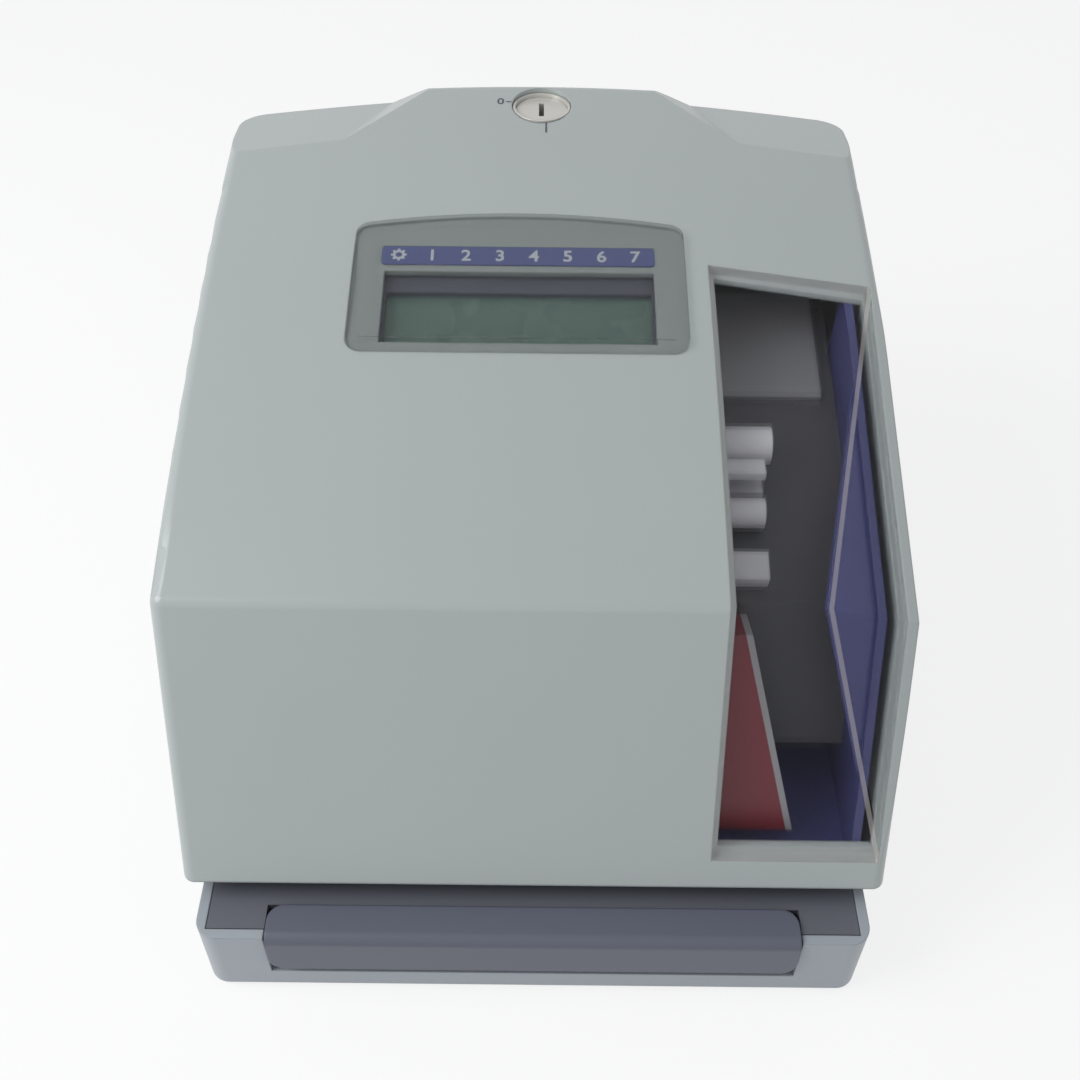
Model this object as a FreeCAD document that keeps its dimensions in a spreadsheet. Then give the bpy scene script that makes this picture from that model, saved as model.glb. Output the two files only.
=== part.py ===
"""Date and time stamp machine: desk-top stamp with a lift-off, key-locked cover.

The frame is millimetres, X to the user's right, Y to the rear, Z up. The origin is on the desk, at the
middle of the footprint. Paper goes into the throat at the front, between throat_plate and paper_guide,
and the print head on its carriage strikes down through the ribbon onto the platen strip.
"""
import FreeCAD
import Part
import Sketcher
import math
import os

doc = FreeCAD.newDocument("time_stamp")
sheet = doc.addObject("Spreadsheet::Sheet", "dims")

# Driving dimensions: alias, value in millimetres or degrees, and what it is
DIMENSIONS = [
    ("cover_width", 164, "outside width of the top cover"),
    ("overall_depth", 200, "print bar face to the rear of the cover"),
    ("cover_wall", 2.5, "wall of the top cover and of the clear window"),
    ("cover_setback", 12, "front of the print bar to the lower front edge of the cover"),
    ("break_setback", 38.8, "front of the print bar to the edge between top and front face"),
    ("frame_setback", 100, "front of the print bar to the back of the mechanism's rear plate"),
    ("break_height", 98.3, "height of the edge between top and front face"),
    ("rim_height", 30, "height of the cover's lower rim, the roof of the throat"),
    ("slope_front", 19.5, "slope of the arched top at the break, degrees"),
    ("slope_rear", 5, "slope of the arched top at the rear, degrees"),
    ("rear_sag", 8.5, "how far the rear wall's arch falls back at the corners"),
    ("rear_corner", 8, "radius of the rear corners in plan"),
    ("edge_round", 3, "rounding of the cover's long edges"),
    ("ridge_side_inset", 33, "rear of the cover forward to the ridge of the rear facets at the side"),
    ("ridge_middle_inset", 27, "rear of the cover forward to the ridge of the rear facets at the lock tab"),
    ("tab_base", 52, "half width of the lock tab at the ridge"),
    ("tab_end", 27.4, "half width of the lock tab at the rear edge"),
    ("facet_drop", 7, "slope of the rear facets, degrees"),
    ("tab_side_slope", 27, "slope of the lock tab's flanks, degrees"),
    ("window_left", 41, "mid plane to the left edge of the side window"),
    ("window_rear", 28, "mid plane to the rear edge of the side window, at its left end"),
    ("window_skew", 6.5, "how much further forward the window's right rear corner is"),
    ("window_sill", 37, "height of the window's lower edge on the front face"),
    ("facet_width", 20, "how far the window's gem facet cuts in at the break"),
    ("facet_depth", 6, "how far the gem facet drops at the side wall"),
    ("fit_gap", 0.2, "gap round a moulding set into another"),
    ("seat_gap", 0.12, "gap under the lens and the window where they rest on a seat"),
    ("lens_width", 80.6, "width of the display lens"),
    ("lens_length", 39.5, "length of the display lens at its sides"),
    ("lens_arch", 4, "rise of the lens's arched rear edge"),
    ("lens_side", -5, "mid plane to the middle of the display, negative to the left"),
    ("lens_middle", 20, "mid plane to the middle of the display, towards the rear"),
    ("lens_proud", 1.2, "how far the lens rim stands above the cover"),
    ("lens_band", 3.2, "width of the raised rim round the lens"),
    ("lens_floor", 1.6, "thickness of the lens inside its rim"),
    ("display_width", 65.5, "width of the display's opening"),
    ("display_length", 22.5, "length of the display's opening"),
    ("display_front", 3.2, "lens edge to the front edge of the display's opening"),
    ("lcd_depth", 1.6, "thickness of the mask over the display glass"),
    ("lock_back_inset", 11, "rear of the cover forward to the lock"),
    ("lock_radius", 7, "radius of the lock plug's face"),
    ("lock_recess", 8, "radius of the lock's recess"),
    ("lock_sink", 1.3, "depth of the lock's recess"),
    ("barrel_length", 20, "length of the lock barrel below the cover"),
    ("spin_gap", 0.08, "radial clearance of a turning fit"),
    ("tray_inset", 3.5, "how far the front of the tray is narrower than the cover, each side"),
    ("tray_wall", 2.4, "wall and floor of the base tray"),
    ("foot_height", 2, "how far the feet stand below the tray"),
    ("foot_radius", 7, "radius of a rubber foot"),
    ("plate_top", 24, "height of the throat plate's top"),
    ("plate_wall", 2, "thickness of the throat plate"),
    ("throat_end_reach", 8, "rear plate forward to the rear end of the throat"),
    ("lip_height", 4, "how far the tray's inner lip rises inside the cover"),
    ("bar_width", 124, "width of the print bar"),
    ("bar_depth", 9.3, "print bar, front to rear"),
    ("bar_foot", 11.4, "height of the print bar's lower edge"),
    ("bar_proud", 1, "how far the bar stands proud of the tray's front and the plate"),
    ("bar_travel", 2.5, "how far the print bar goes down"),
    ("bar_corner", 4, "radius of the print bar's corners"),
    ("bar_edge", 2.5, "radius of the print bar's upper front edge"),
    ("cassette_gap", 9, "front face to the front of the ribbon cassette"),
    ("cassette_thick", 10, "thickness of the ribbon cassette"),
    ("cassette_foot", 10, "lower edge of the cassette, up the front face"),
    ("cassette_rise", 62, "upper edge of the cassette, up the front face"),
    ("cassette_half", 46.2, "half width of the cassette at its top"),
    ("cassette_flare", 13.2, "how much wider the cassette is at its foot, each side"),
    ("spool_side", 40, "mid plane to a ribbon spool"),
    ("spool_rise", 30, "height of the spools up the front face"),
    ("spool_radius", 7, "radius of a ribbon spool"),
    ("spool_core", 5.25, "radius of a ribbon spool's core"),
    ("print_line_reach", 43, "rear plate forward to the line the head prints on"),
    ("head_width", 18, "width and depth of the print head"),
    ("carriage_rest", 8, "where the carriage stands at rest, right of the middle"),
    ("left_plate", 68, "mid plane to the left side plate's outer face"),
    ("right_plate", 37.2, "mid plane to the right side plate's outer face"),
    ("sheet_wall", 1.2, "thickness of the steel plates"),
    ("shaft_back_reach", 25, "rear plate forward to the guide shafts"),
    ("shaft_radius", 3, "radius of the guide shafts"),
    ("lower_rod_height", 48, "height of the lower guide rod"),
    ("upper_rod_height", 66, "height of the upper guide rod"),
    ("belt_back_reach", 10, "rear plate forward to the belt's middle"),
    ("belt_height", 58, "height of the belt's middle"),
    ("belt_width", 6, "width of the toothed belt"),
    ("pulley_radius", 5, "radius of the belt on its pulleys"),
    ("motor_distance", 20, "mid plane to the drive motor"),
    ("idler_distance", -56, "mid plane to the idler pulley, negative to the left"),
    ("shroud_gap", 22, "outside of the cover to the shroud over the right end"),
    ("shroud_side_gap", 8.4, "side of the cover to the right end of the shroud"),
    ("knob_back_reach", 9.4, "rear plate forward to the ribbon advance knob"),
    ("knob_height_rise", -0.6, "cover's front edge up to the ribbon advance knob, negative below"),
    ("roller_back_reach", 26, "rear plate forward to the guide roller"),
    ("roller_height_rise", -6.8, "cover's front edge up to the guide roller, negative below"),
    ("board_height", 12, "height of the main board"),
    ("hole_spacing", 100, "distance between the desk fixing holes"),
    ("hole_radius", 2.25, "radius of the desk fixing holes"),
    ("stop_travel", 16, "how far the paper stop slides forward"),
    ("window_flange", 2.5, "width of the cover's rim beside the window"),
    ("ledge_wall", 1.5, "width and thickness of the ledge under the window"),
    ("lens_sink", 1, "how deep the lens sits in the cover"),
    ("lens_round", 4, "corner radius of the lens"),
    ("strip_wall", 0.3, "thickness of the printed day strip"),
    ("strip_round", 1.2, "corner radius of the day strip"),
    ("strip_left", -38.8, "left end of the day strip"),
    ("strip_right", 28.1, "right end of the day strip"),
    ("strip_front", 28, "front edge of the day strip"),
    ("strip_rear", 34, "rear edge of the day strip"),
    ("mask_rim", 3, "how far the mask reaches past the display's opening"),
    ("mask_top", 3.1, "outside of the cover to the mask"),
    ("mask_side", 0.6, "width of the mask beside the display"),
    ("mask_band", 5, "width of the dark band above the display"),
    ("lcd_thick", 1.8, "thickness of the display glass"),
    ("board_rim", 3, "margin of a circuit board round its screws"),
    ("card_thick", 1.6, "thickness of a circuit board"),
    ("lock_bore", 6.8, "radius of the hole for the lock barrel"),
    ("lock_core", 5.5, "radius of the lock plug below its face"),
    ("face_wall", 2, "thickness of the lock plug's face"),
    ("collar_wall", 0.9, "height of the lock's raised ring"),
    ("collar_floor", 0.6, "thickness of the floor that joins the ring to the barrel"),
    ("cam_wall", 2, "thickness of the lock cam"),
    ("cam_half", 5, "half width of the lock cam"),
    ("cam_reach", 14, "length of the lock cam from its axis"),
    ("slot_width", 1.3, "width of the key slot"),
    ("slot_length", 7, "length of the key slot"),
    ("slot_depth", 8, "depth of the key slot"),
    ("nut_radius", 9.2, "radius of the lock nut across its corners"),
    ("nut_wall", 4, "thickness of the lock nut"),
    ("rib_front", 30, "mid plane to the front pair of resting ribs"),
    ("rib_rear_inset", 40, "rear of the cover forward to the rear pair of resting ribs"),
    ("rib_reach", 6, "how far a resting rib reaches in from the outside"),
    ("rib_wall", 2, "thickness of a resting rib"),
    ("rib_height", 14, "height of a resting rib"),
    ("tray_corner", 5, "radius of the tray's upright corners"),
    ("bar_gap", 0.4, "clearance round the moving bar and carriage"),
    ("guide_side", 50, "mid plane to a guide post of the bar"),
    ("guide_set", 1.6, "how far the posts stand behind the bar's middle"),
    ("guide_radius", 2, "radius of a guide post"),
    ("guide_top", 18, "height of the guide posts"),
    ("spring_side", 30, "mid plane to a spring of the bar"),
    ("spring_radius", 2, "mean radius of a spring"),
    ("spring_wire", 0.5, "thickness of the springs' square wire"),
    ("spring_turns", 5, "number of turns of a spring"),
    ("spring_well", 6, "depth of the spring wells in the bar"),
    ("switch_side", 12, "mid plane to the bar's switch"),
    ("switch_half", 6, "half width of the switch"),
    ("switch_top", 8, "height of the switch body"),
    ("arm_reach", 6, "how far the bar's arm reaches behind it"),
    ("tongue_half", 2.5, "half width of an arm or tongue"),
    ("tongue_length", 1, "how far the stop's tongue reaches behind it"),
    ("anvil_left", -56, "left end of the platen"),
    ("anvil_right", 30, "right end of the platen"),
    ("anvil_half", 7, "half depth of the platen's steel bar"),
    ("anvil_foot", 16, "height of the platen bar's lower face"),
    ("strip_half", 5, "half depth of the platen's rubber strip"),
    ("board_half", 66, "half width of the main board"),
    ("board_front_inset", 74, "rear of the cover forward to the front of the main board"),
    ("board_rear_inset", 31, "rear of the cover forward to the rear of the main board"),
    ("frame_foot", 52, "mid plane to a foot of the rear plate"),
    ("frame_height", 10, "height of the rear plate's feet"),
    ("foot_back_inset", 12, "rear plate back to the screws of its feet"),
    ("screw_radius", 1.5, "radius of a fixing screw"),
    ("hole_line_reach", 64, "rear plate forward to the desk fixing holes"),
    ("inlet_side", 45, "mid plane to the power inlet, to the left"),
    ("inlet_height", 18, "height of the power inlet"),
    ("inlet_radius", 4, "radius of the power inlet"),
    ("inlet_bore", 2.4, "radius of the power inlet's hole"),
    ("inlet_pin", 1, "radius of the power inlet's centre pin"),
    ("inlet_rear_inset", 10.5, "rear of the cover forward to the inner face of the tray at the inlet"),
    ("foot_side", 66, "mid plane to a foot"),
    ("foot_front_reach", 84, "rear plate forward to the front feet"),
    ("foot_rear_inset", 28, "rear of the cover forward to the rear feet"),
    ("stop_back_reach", 11, "rear plate forward to the rear of the paper stop"),
    ("stop_thick", 5, "depth of the paper stop"),
    ("stop_half", 30, "half width of the paper stop"),
    ("stop_head", 3, "height of the stop screw's head"),
    ("guide_front_reach", 83, "rear plate forward to the paper guide's front edge"),
    ("shroud_step", 76, "height of the opening at the rear of the shroud"),
    ("fence_rear", 26, "mid plane to the rear end of the paper guide's side wall"),
    ("fence_gap", 4, "outside of the cover to the paper guide's side wall"),
    ("ribbon_left", -64, "left end of the ribbon's slot"),
    ("ribbon_right", 35, "right end of the ribbon's slot"),
    ("ribbon_height", 32.2, "height of the ribbon"),
    ("ribbon_wall", 0.2, "thickness of the ribbon"),
    ("arm_width", 6, "width of a cassette arm"),
    ("arm_height", 9, "height of a cassette arm"),
    ("arm_front_reach", 68, "rear plate forward to the front of the cassette arms"),
    ("lid_wall", 1.5, "thickness of the cassette's lid"),
    ("cassette_wall", 1.6, "wall of the cassette"),
    ("guide_strip", 1.5, "width of the strip beside the cassette"),
    ("left_top_rise", -10.3, "cover's front edge up to the top of the left and rear plates, negative below"),
    ("right_top_rise", 5.7, "cover's front edge up to the top of the right plate, negative below"),
    ("cheek_front_reach", 44, "rear plate forward to the front of the side plates"),
    ("cheek_slant", 20, "how much lower the side plates are at the front"),
    ("pin_radius", 1.5, "radius of small pins and motor shaft"),
    ("carriage_half", 12, "half width of the carriage"),
    ("carriage_depth", 9, "half depth of the carriage"),
    ("carriage_margin", 6, "carriage above and below its shafts"),
    ("clamp_drop", 4, "how far the belt clamp reaches below the belt"),
    ("clamp_left", 6.4, "carriage middle to the left side of the belt clamp"),
    ("clamp_width", 3.8, "width of the belt clamp"),
    ("belt_thick", 0.8, "thickness of the belt"),
    ("head_foot", 36, "height of the print head's body"),
    ("head_top", 58, "height of the print head's top"),
    ("nose_radius", 4, "radius of the print head's nose"),
    ("fin_depth", 3, "depth of the gaps between the print head's cooling fins"),
    ("rim_wall", 0.6, "wall of the pulley rims"),
    ("motor_radius", 14, "radius of the drive motor"),
    ("motor_length", 21, "length of the drive motor"),
    ("motor_boss", 5, "radius of the motor's centring boss"),
    ("shroud_wall", 2, "wall of the shroud"),
    ("shroud_end", 42, "mid plane to the rear of the shroud"),
    ("shroud_foot", 46, "height of the shroud's front edge"),
    ("panel_front", 4, "mid plane to the front of the grey panel"),
    ("panel_rear", 38, "mid plane to the rear of the grey panel"),
    ("panel_side_gap", 3.6, "right end of the shroud to the right end of the grey panel"),
    ("knob_left", 43, "left end of the knob"),
    ("knob_right", 55, "right end of the knob"),
    ("knob_radius", 4.5, "radius of the knob"),
    ("roller_right", 52.6, "right end of the guide roller"),
    ("roller_radius", 3.5, "radius of the guide roller"),
    ("hook_foot_rise", -7.9, "cover's front edge up to the latch hook's foot, negative below"),
    ("hook_height", 8, "height of the latch hook's opening side"),
    ("hook_back_reach", 17.5, "rear plate forward to the latch hook"),
    ("hook_depth", 5, "depth of the latch hook"),
    ("stay_back_reach", 44, "rear plate forward to the ribbon stay"),
    ("stay_half", 3.5, "half depth of the ribbon stay"),
    ("chip_front_inset", 66, "rear of the cover forward to the front of the chips"),
    ("chip_depth", 12, "depth of a chip"),
    ("chip_left", -40, "mid plane to the left end of the first chip, negative to the left"),
    ("chip_pitch", 22, "distance between chips"),
    ("chip_width", 14, "width of a chip"),
    ("chip_height", 3, "height of a chip"),
    ("power_left", 34, "left end of the power block"),
    ("power_depth", 30, "depth of the power block"),
    ("power_height", 24, "height of the power block"),
    ("battery_back_inset", 42, "rear of the cover forward to the backup battery"),
    ("battery_radius", 8, "radius of the backup battery"),
    ("battery_side", -22, "mid plane to the backup battery, negative to the left"),
    ("battery_height", 6, "height of the backup battery"),
    ("bracket_drop", 8, "overlap of the bracket on the rear plate"),
    ("shelf_height_rise", -4.3, "cover's front edge up to the button shelf, negative below"),
    ("shelf_depth", 56, "depth of the button shelf"),
    ("shelf_width", 18, "width of the button shelf"),
    ("button_first", 9, "mid plane to the first setting button"),
    ("spacer_height", 3, "height of the display board's spacers"),
    ("button_pitch", 18, "distance between setting buttons"),
    ("button_half", 4, "half width of a button base"),
    ("button_base", 5, "height of a button base"),
    ("button_radius", 3, "radius of a setting button"),
    ("button_travel", 1, "travel of a setting button"),
    ("button_proud", 3, "how far a setting button stands up"),
    ("strike_gap", 2, "tip of the lock cam to the lock strike"),
    ("strike_lip", 8, "reach of the lock strike's lip"),
    ("strike_width", 16, "width of the lock strike"),
]
# Places that follow from the driving dimensions, measured from the middle of the footprint
IN_FRONT_OF_FRAME = [
    "throat_end", "print_line", "shaft_back", "belt_back", "knob_back", "roller_back", "hook_back",
    "stay_back", "cheek_front", "stop_back", "arm_front", "guide_front", "hole_line", "foot_front",
]
IN_FROM_REAR = [
    "ridge_side", "ridge_middle", "lock_back", "foot_rear", "board_rear", "board_front", "inlet_rear",
    "battery_back", "rib_rear", "chip_front",
]
UP_FROM_BREAK = ["knob_height", "roller_height", "hook_foot", "right_top", "left_top", "shelf_height"]

ALIASES = []


def fill_row(alias, content, note):
    """Writes one named cell of the sheet: a value, or a formula of earlier cells."""
    row = len(ALIASES) + 1
    sheet.set(f"A{row}", alias)
    sheet.set(f"B{row}", str(content))
    sheet.set(f"C{row}", note)
    sheet.setAlias(f"B{row}", alias)
    ALIASES.append(alias)


for alias, value, note in DIMENSIONS:
    fill_row(alias, value, note)
fill_row("cover_front", "=overall_depth / 2 - cover_setback", "mid plane to the cover's lower front edge")
fill_row("break_front", "=overall_depth / 2 - break_setback", "mid plane to the edge of top and front face")
fill_row("plate_step", "=overall_depth / 2 - bar_depth - bar_gap", "mid plane to the plate behind the bar")
fill_row("frame_back", "=overall_depth / 2 - frame_setback", "mid plane to the rear plate, in front of it")
fill_row("foot_back", "=foot_back_inset - frame_back", "mid plane to the screws of the rear plate's feet")
fill_row("shroud_right", "=cover_width / 2 - shroud_side_gap", "right end of the shroud")
fill_row("panel_right", "=shroud_right - panel_side_gap", "right end of the grey panel")
for alias in IN_FRONT_OF_FRAME:
    fill_row(alias, f"=frame_back + {alias}_reach", "place in front of the mid plane")
for alias in IN_FROM_REAR:
    fill_row(alias, f"=overall_depth / 2 - {alias}_inset", "place behind the mid plane")
for alias in UP_FROM_BREAK:
    fill_row(alias, f"=break_height + {alias}_rise", "height above the desk")
fill_row("strike_back", "=lock_back - cam_reach - strike_gap", "mid plane to the lock strike")
doc.recompute()

NODES = []

# How near two places count as the same, in millimetres, and two directions as parallel, as a cosine
NEAR = 0.01
PARALLEL = 0.999


# Helpers: expressions, primitives, booleans, bodies and sketches

def expr(text):
    """An expression with every known alias written as a cell of the sheet."""
    text = str(text)
    out, word = "", ""
    for letter in text + " ":
        if letter.isalnum() or letter in "_.":
            word += letter
            continue
        out += ("dims." + word if word in ALIASES else word) + letter
        word = ""
    return out.strip()


def size(text):
    """The present value of an expression, as a plain number."""
    found = sheet.evalExpression(expr(text))
    return float(getattr(found, "Value", found))


def bind(thing, prop, text):
    thing.setExpression(prop, expr(text))


def node(thing, label):
    """Marks a finished object as a sub-part, whose label names its file."""
    thing.Label = label
    NODES.append(thing)
    return thing


def block(name, x, y, z):
    """A box from (low, high) expressions along each axis."""
    made = doc.addObject("Part::Box", name)
    for prop, base, (low, high) in (("Length", "x", x), ("Width", "y", y), ("Height", "z", z)):
        bind(made, prop, f"({high}) - ({low})")
        bind(made, f"Placement.Base.{base}", low)
    return made


AXES = {
    "x": FreeCAD.Rotation(FreeCAD.Vector(0, 1, 0), 90),
    "y": FreeCAD.Rotation(FreeCAD.Vector(1, 0, 0), -90),
    "z": FreeCAD.Rotation(),
}


def rod(name, axis, at, span, radius, top_radius=None):
    """A cylinder, or a cone with top_radius, along an axis: at is its place across it, span its two ends."""
    made = doc.addObject("Part::Cylinder" if top_radius is None else "Part::Cone", name)
    made.Placement = FreeCAD.Placement(FreeCAD.Vector(), AXES[axis])
    bind(made, "Height", f"({span[1]}) - ({span[0]})")
    bind(made, "Radius" if top_radius is None else "Radius1", radius)
    if top_radius is not None:
        bind(made, "Radius2", top_radius)
    across = [base for base in "xyz" if base != axis]
    for base, text in zip(across, at):
        bind(made, f"Placement.Base.{base}", text)
    bind(made, f"Placement.Base.{axis}", span[0])
    return made


def cut(name, base, *tools):
    made = doc.addObject("Part::Cut", name)
    made.Base = base
    made.Tool = tools[0] if len(tools) == 1 else fuse(name + "_tools", *tools)
    return made


def fuse(name, *shapes):
    made = doc.addObject("Part::MultiFuse", name)
    made.Shapes = list(shapes)
    return made


def common(name, *shapes):
    made = doc.addObject("Part::MultiCommon", name)
    made.Shapes = list(shapes)
    return made


def group(name, *shapes):
    """Separate solids that share one node."""
    made = doc.addObject("Part::Compound", name)
    made.Links = list(shapes)
    return made


def new_body(name, base=("0", "0", "0"), tilt="0"):
    """A PartDesign body, set down at base and tilted about X."""
    made = doc.addObject("PartDesign::Body", name)
    made.Placement = FreeCAD.Placement(FreeCAD.Vector(), FreeCAD.Rotation(FreeCAD.Vector(1, 0, 0), 1))
    for axis, text in zip("xyz", base):
        bind(made, f"Placement.Base.{axis}", text)
    bind(made, "Placement.Rotation.Angle", tilt)
    return made


PLANES = {"XY": "XY_Plane", "XZ": "XZ_Plane", "YZ": "YZ_Plane"}


def sketch(owner, name, plane, loops, height="0"):
    """A constrained sketch on an origin plane of its body.

    A loop is ("circle", x, y, radius) or a list of corners (x, y) or (x, y, radius): with a radius, the
    edge to the next corner is an arc that turns left, or right where the radius starts with a minus.
    """
    made = owner.newObject("Sketcher::SketchObject", name)
    support = [f for f in owner.Origin.OriginFeatures if f.Role == PLANES[plane]][0]
    made.AttachmentSupport = [(support, "")]
    made.MapMode = "FlatFace"
    bind(made, "AttachmentOffset.Base.z", f"-({height})" if plane == "XZ" else height)
    for loop in loops:
        if loop[0] == "circle":
            draw_circle(made, *loop[1:])
        else:
            draw_corners(made, loop)
    return made


def pin_point(made, index, point, x, y):
    """Two signed distances from the origin that hold a point of the sketch."""
    for kind, text in (("DistanceX", x), ("DistanceY", y)):
        number = made.addConstraint(Sketcher.Constraint(kind, -1, 1, index, point, size(text)))
        bind(made, f"Constraints[{number}]", text)


def draw_circle(made, x, y, radius):
    centre = FreeCAD.Vector(size(x), size(y), 0)
    index = made.addGeometry(Part.Circle(centre, FreeCAD.Vector(0, 0, 1), size(radius)), False)
    pin_point(made, index, 3, x, y)
    number = made.addConstraint(Sketcher.Constraint("Radius", index, size(radius)))
    bind(made, f"Constraints[{number}]", radius)


def draw_corners(made, corners):
    points = [FreeCAD.Vector(size(c[0]), size(c[1]), 0) for c in corners]
    first = len(made.Geometry)
    arcs = []
    for i, corner in enumerate(corners):
        start, end = points[i], points[(i + 1) % len(points)]
        if len(corner) == 2:
            made.addGeometry(Part.LineSegment(start, end), False)
            continue
        turn_right = corner[2].startswith("-")
        radius = corner[2].lstrip("-")
        half = (end - start) * 0.5
        side = FreeCAD.Vector(-half.y, half.x, 0).normalize()
        rise = math.sqrt(size(radius) ** 2 - half.Length ** 2)
        centre = start + half + side * (-rise if turn_right else rise)
        spot = centre + side * (size(radius) if turn_right else -size(radius))
        made.addGeometry(Part.Arc(start, spot, end), False)
        arcs.append((first + i, radius, turn_right))
    turned = {index for index, _, right in arcs if right}

    def ends(index):
        return (2, 1) if index in turned else (1, 2)

    count = len(corners)
    for i in range(count):
        here, following = first + i, first + (i + 1) % count
        made.addConstraint(
            Sketcher.Constraint("Coincident", here, ends(here)[1], following, ends(following)[0]))
        pin_point(made, here, ends(here)[0], corners[i][0], corners[i][1])
    for index, radius, _ in arcs:
        number = made.addConstraint(Sketcher.Constraint("Radius", index, size(radius)))
        bind(made, f"Constraints[{number}]", radius)


def pad(owner, drawn, length, both=False, back=False):
    made = owner.newObject("PartDesign::Pad", drawn.Name + "_pad")
    made.Profile = drawn
    bind(made, "Length", length)
    made.Midplane = both
    made.Reversed = back
    drawn.Visibility = False
    doc.recompute()
    return made


def pocket(owner, drawn, length, both=False, back=False):
    """Cuts by length along the sketch's normal, or against it where back is not set."""
    made = owner.newObject("PartDesign::Pocket", drawn.Name + "_pocket")
    made.Profile = drawn
    bind(made, "Length", length)
    made.Midplane = both
    made.Reversed = back
    doc.recompute()
    return made


def round_edges(owner, chosen, radius, kind="Fillet"):
    """Fillets, or chamfers, the edges of the tip for which chosen(edge) is true."""
    tip = owner.Tip
    names = [f"Edge{i}" for i, edge in enumerate(tip.Shape.Edges, start=1) if chosen(edge)]
    made = owner.newObject(f"PartDesign::{kind}", f"{owner.Name}_{kind.lower()}")
    made.Base = (tip, names)
    bind(made, "Radius" if kind == "Fillet" else "Size", radius)
    doc.recompute()
    return made


def along(edge, axis):
    """Whether an edge is straight along an axis."""
    if edge.Degenerated:
        return False
    line = edge.Curve
    return isinstance(line, Part.Line) and abs(getattr(line.Direction, axis)) > PARALLEL


def middle(edge):
    return edge.valueAt((edge.FirstParameter + edge.LastParameter) / 2)


# Shared places, as expressions of the driving dimensions

HALF_WIDTH = "cover_width / 2"
REAR = "overall_depth / 2"
TRAY_FRONT = "(bar_proud - overall_depth / 2)"
TRAY_HALF = "(cover_width / 2 - tray_inset)"
TOP_RADIUS = "((overall_depth / 2 + break_front) / (sin(slope_front) - sin(slope_rear)))"
TOP_CENTRE_Y = f"(-break_front + {TOP_RADIUS} * sin(slope_front))"
TOP_CENTRE_Z = f"(break_height - {TOP_RADIUS} * cos(slope_front))"
REAR_HEIGHT = f"({TOP_CENTRE_Z} + {TOP_RADIUS} * cos(slope_rear))"
FACE_ANGLE = "atan((break_height - rim_height) / (cover_front - break_front))"
REAR_RADIUS = "((cover_width * cover_width / 4 + rear_sag * rear_sag) / (2 * rear_sag))"
SPAN = "overall_depth"


def top_height(y):
    """The height of the arched top above a place y, as an expression."""
    back = f"({y} - {TOP_CENTRE_Y})"
    return f"({TOP_CENTRE_Z} + sqrt({TOP_RADIUS} * {TOP_RADIUS} - {back} * {back}))"


def top_slope(y):
    """The slope of the arched top at a place y, in degrees, as an expression."""
    return f"(asin(({TOP_CENTRE_Y} - ({y})) / {TOP_RADIUS}))"


fill_row("lock_top", "=" + top_height("lock_back"), "height of the cover at the lock")
doc.recompute()


def corner_in(gap):
    """The profile's break corner moved in from both faces by gap: (y, z)."""
    share = f"({gap}) / (1 + cos({FACE_ANGLE} - slope_front * 1 deg))"
    return (
        f"(-break_front + (sin({FACE_ANGLE}) + sin(slope_front)) * {share})",
        f"(break_height - (cos({FACE_ANGLE}) + cos(slope_front)) * {share})",
    )


def face_in(gap, z):
    """The place y on the front face at height z, moved in by gap."""
    return f"(-cover_front + ({z} - rim_height) / tan({FACE_ANGLE}) + ({gap}) / sin({FACE_ANGLE}))"


def case_profile(gap, foot):
    """The cover's side profile moved in by gap, down to the height foot."""
    break_y, break_z = corner_in(gap)
    rear_y = f"({REAR} - ({gap}))"
    arc = f"({TOP_RADIUS} - ({gap}))"
    back = f"({rear_y} - {TOP_CENTRE_Y})"
    rear_z = f"({TOP_CENTRE_Z} + sqrt({arc} * {arc} - {back} * {back}))"
    return [(face_in(gap, foot), foot), (rear_y, foot), (rear_y, rear_z, arc), (break_y, break_z)]


def rear_trim(gap):
    """The region behind the arched rear wall, moved in by gap."""
    half = f"({HALF_WIDTH} - ({gap}))"
    side_y = f"({REAR} - rear_sag - ({gap}))"
    return [
        (f"-{half}", side_y, f"-({REAR_RADIUS} - ({gap}))"),
        (half, side_y),
        (f"({half} + {SPAN})", side_y),
        (f"({half} + {SPAN})", f"({REAR} + {SPAN})"),
        (f"(-{half} - {SPAN})", f"({REAR} + {SPAN})"),
        (f"(-{half} - {SPAN})", side_y),
    ]


def half_space(name, point, normal):
    """A large block whose flat lower face passes through point, on the side that normal points to."""
    reach = 2 * size(SPAN)
    made = doc.addObject("Part::Feature", name)
    turn = FreeCAD.Rotation(FreeCAD.Vector(0, 0, 1), FreeCAD.Vector(*normal))
    made.Shape = Part.makeBox(2 * reach, 2 * reach, reach)
    base = FreeCAD.Vector(*point) - turn.multVec(FreeCAD.Vector(reach, reach, 0))
    made.Placement = FreeCAD.Placement(base, turn)
    return made


def plane_normal(a, b, c):
    """The upward normal of the plane through three points."""
    a, b, c = (FreeCAD.Vector(*p) for p in (a, b, c))
    normal = (b - a).cross(c - a).normalize()
    return normal if normal.z > 0 else normal * -1


# The case: outer form, lock tab, window and top cover

def case_solid(name, gap, foot):
    """The full form of the cover, moved in by gap on every side, as one solid body."""
    owner = new_body(name)
    profile = sketch(owner, name + "_profile", "YZ", [case_profile(gap, foot)])
    pad(owner, profile, f"cover_width - 2 * ({gap})", both=True)
    trim = sketch(owner, name + "_trim", "XY", [rear_trim(gap)])
    pocket(owner, trim, "overall_depth * 2", both=True)
    corner_y = size(f"{REAR} - rear_sag - ({gap})")
    round_edges(
        owner,
        lambda e: along(e, "z") and abs(middle(e).y - corner_y) < NEAR,
        f"rear_corner - ({gap}) / 2",
    )
    return owner


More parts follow.
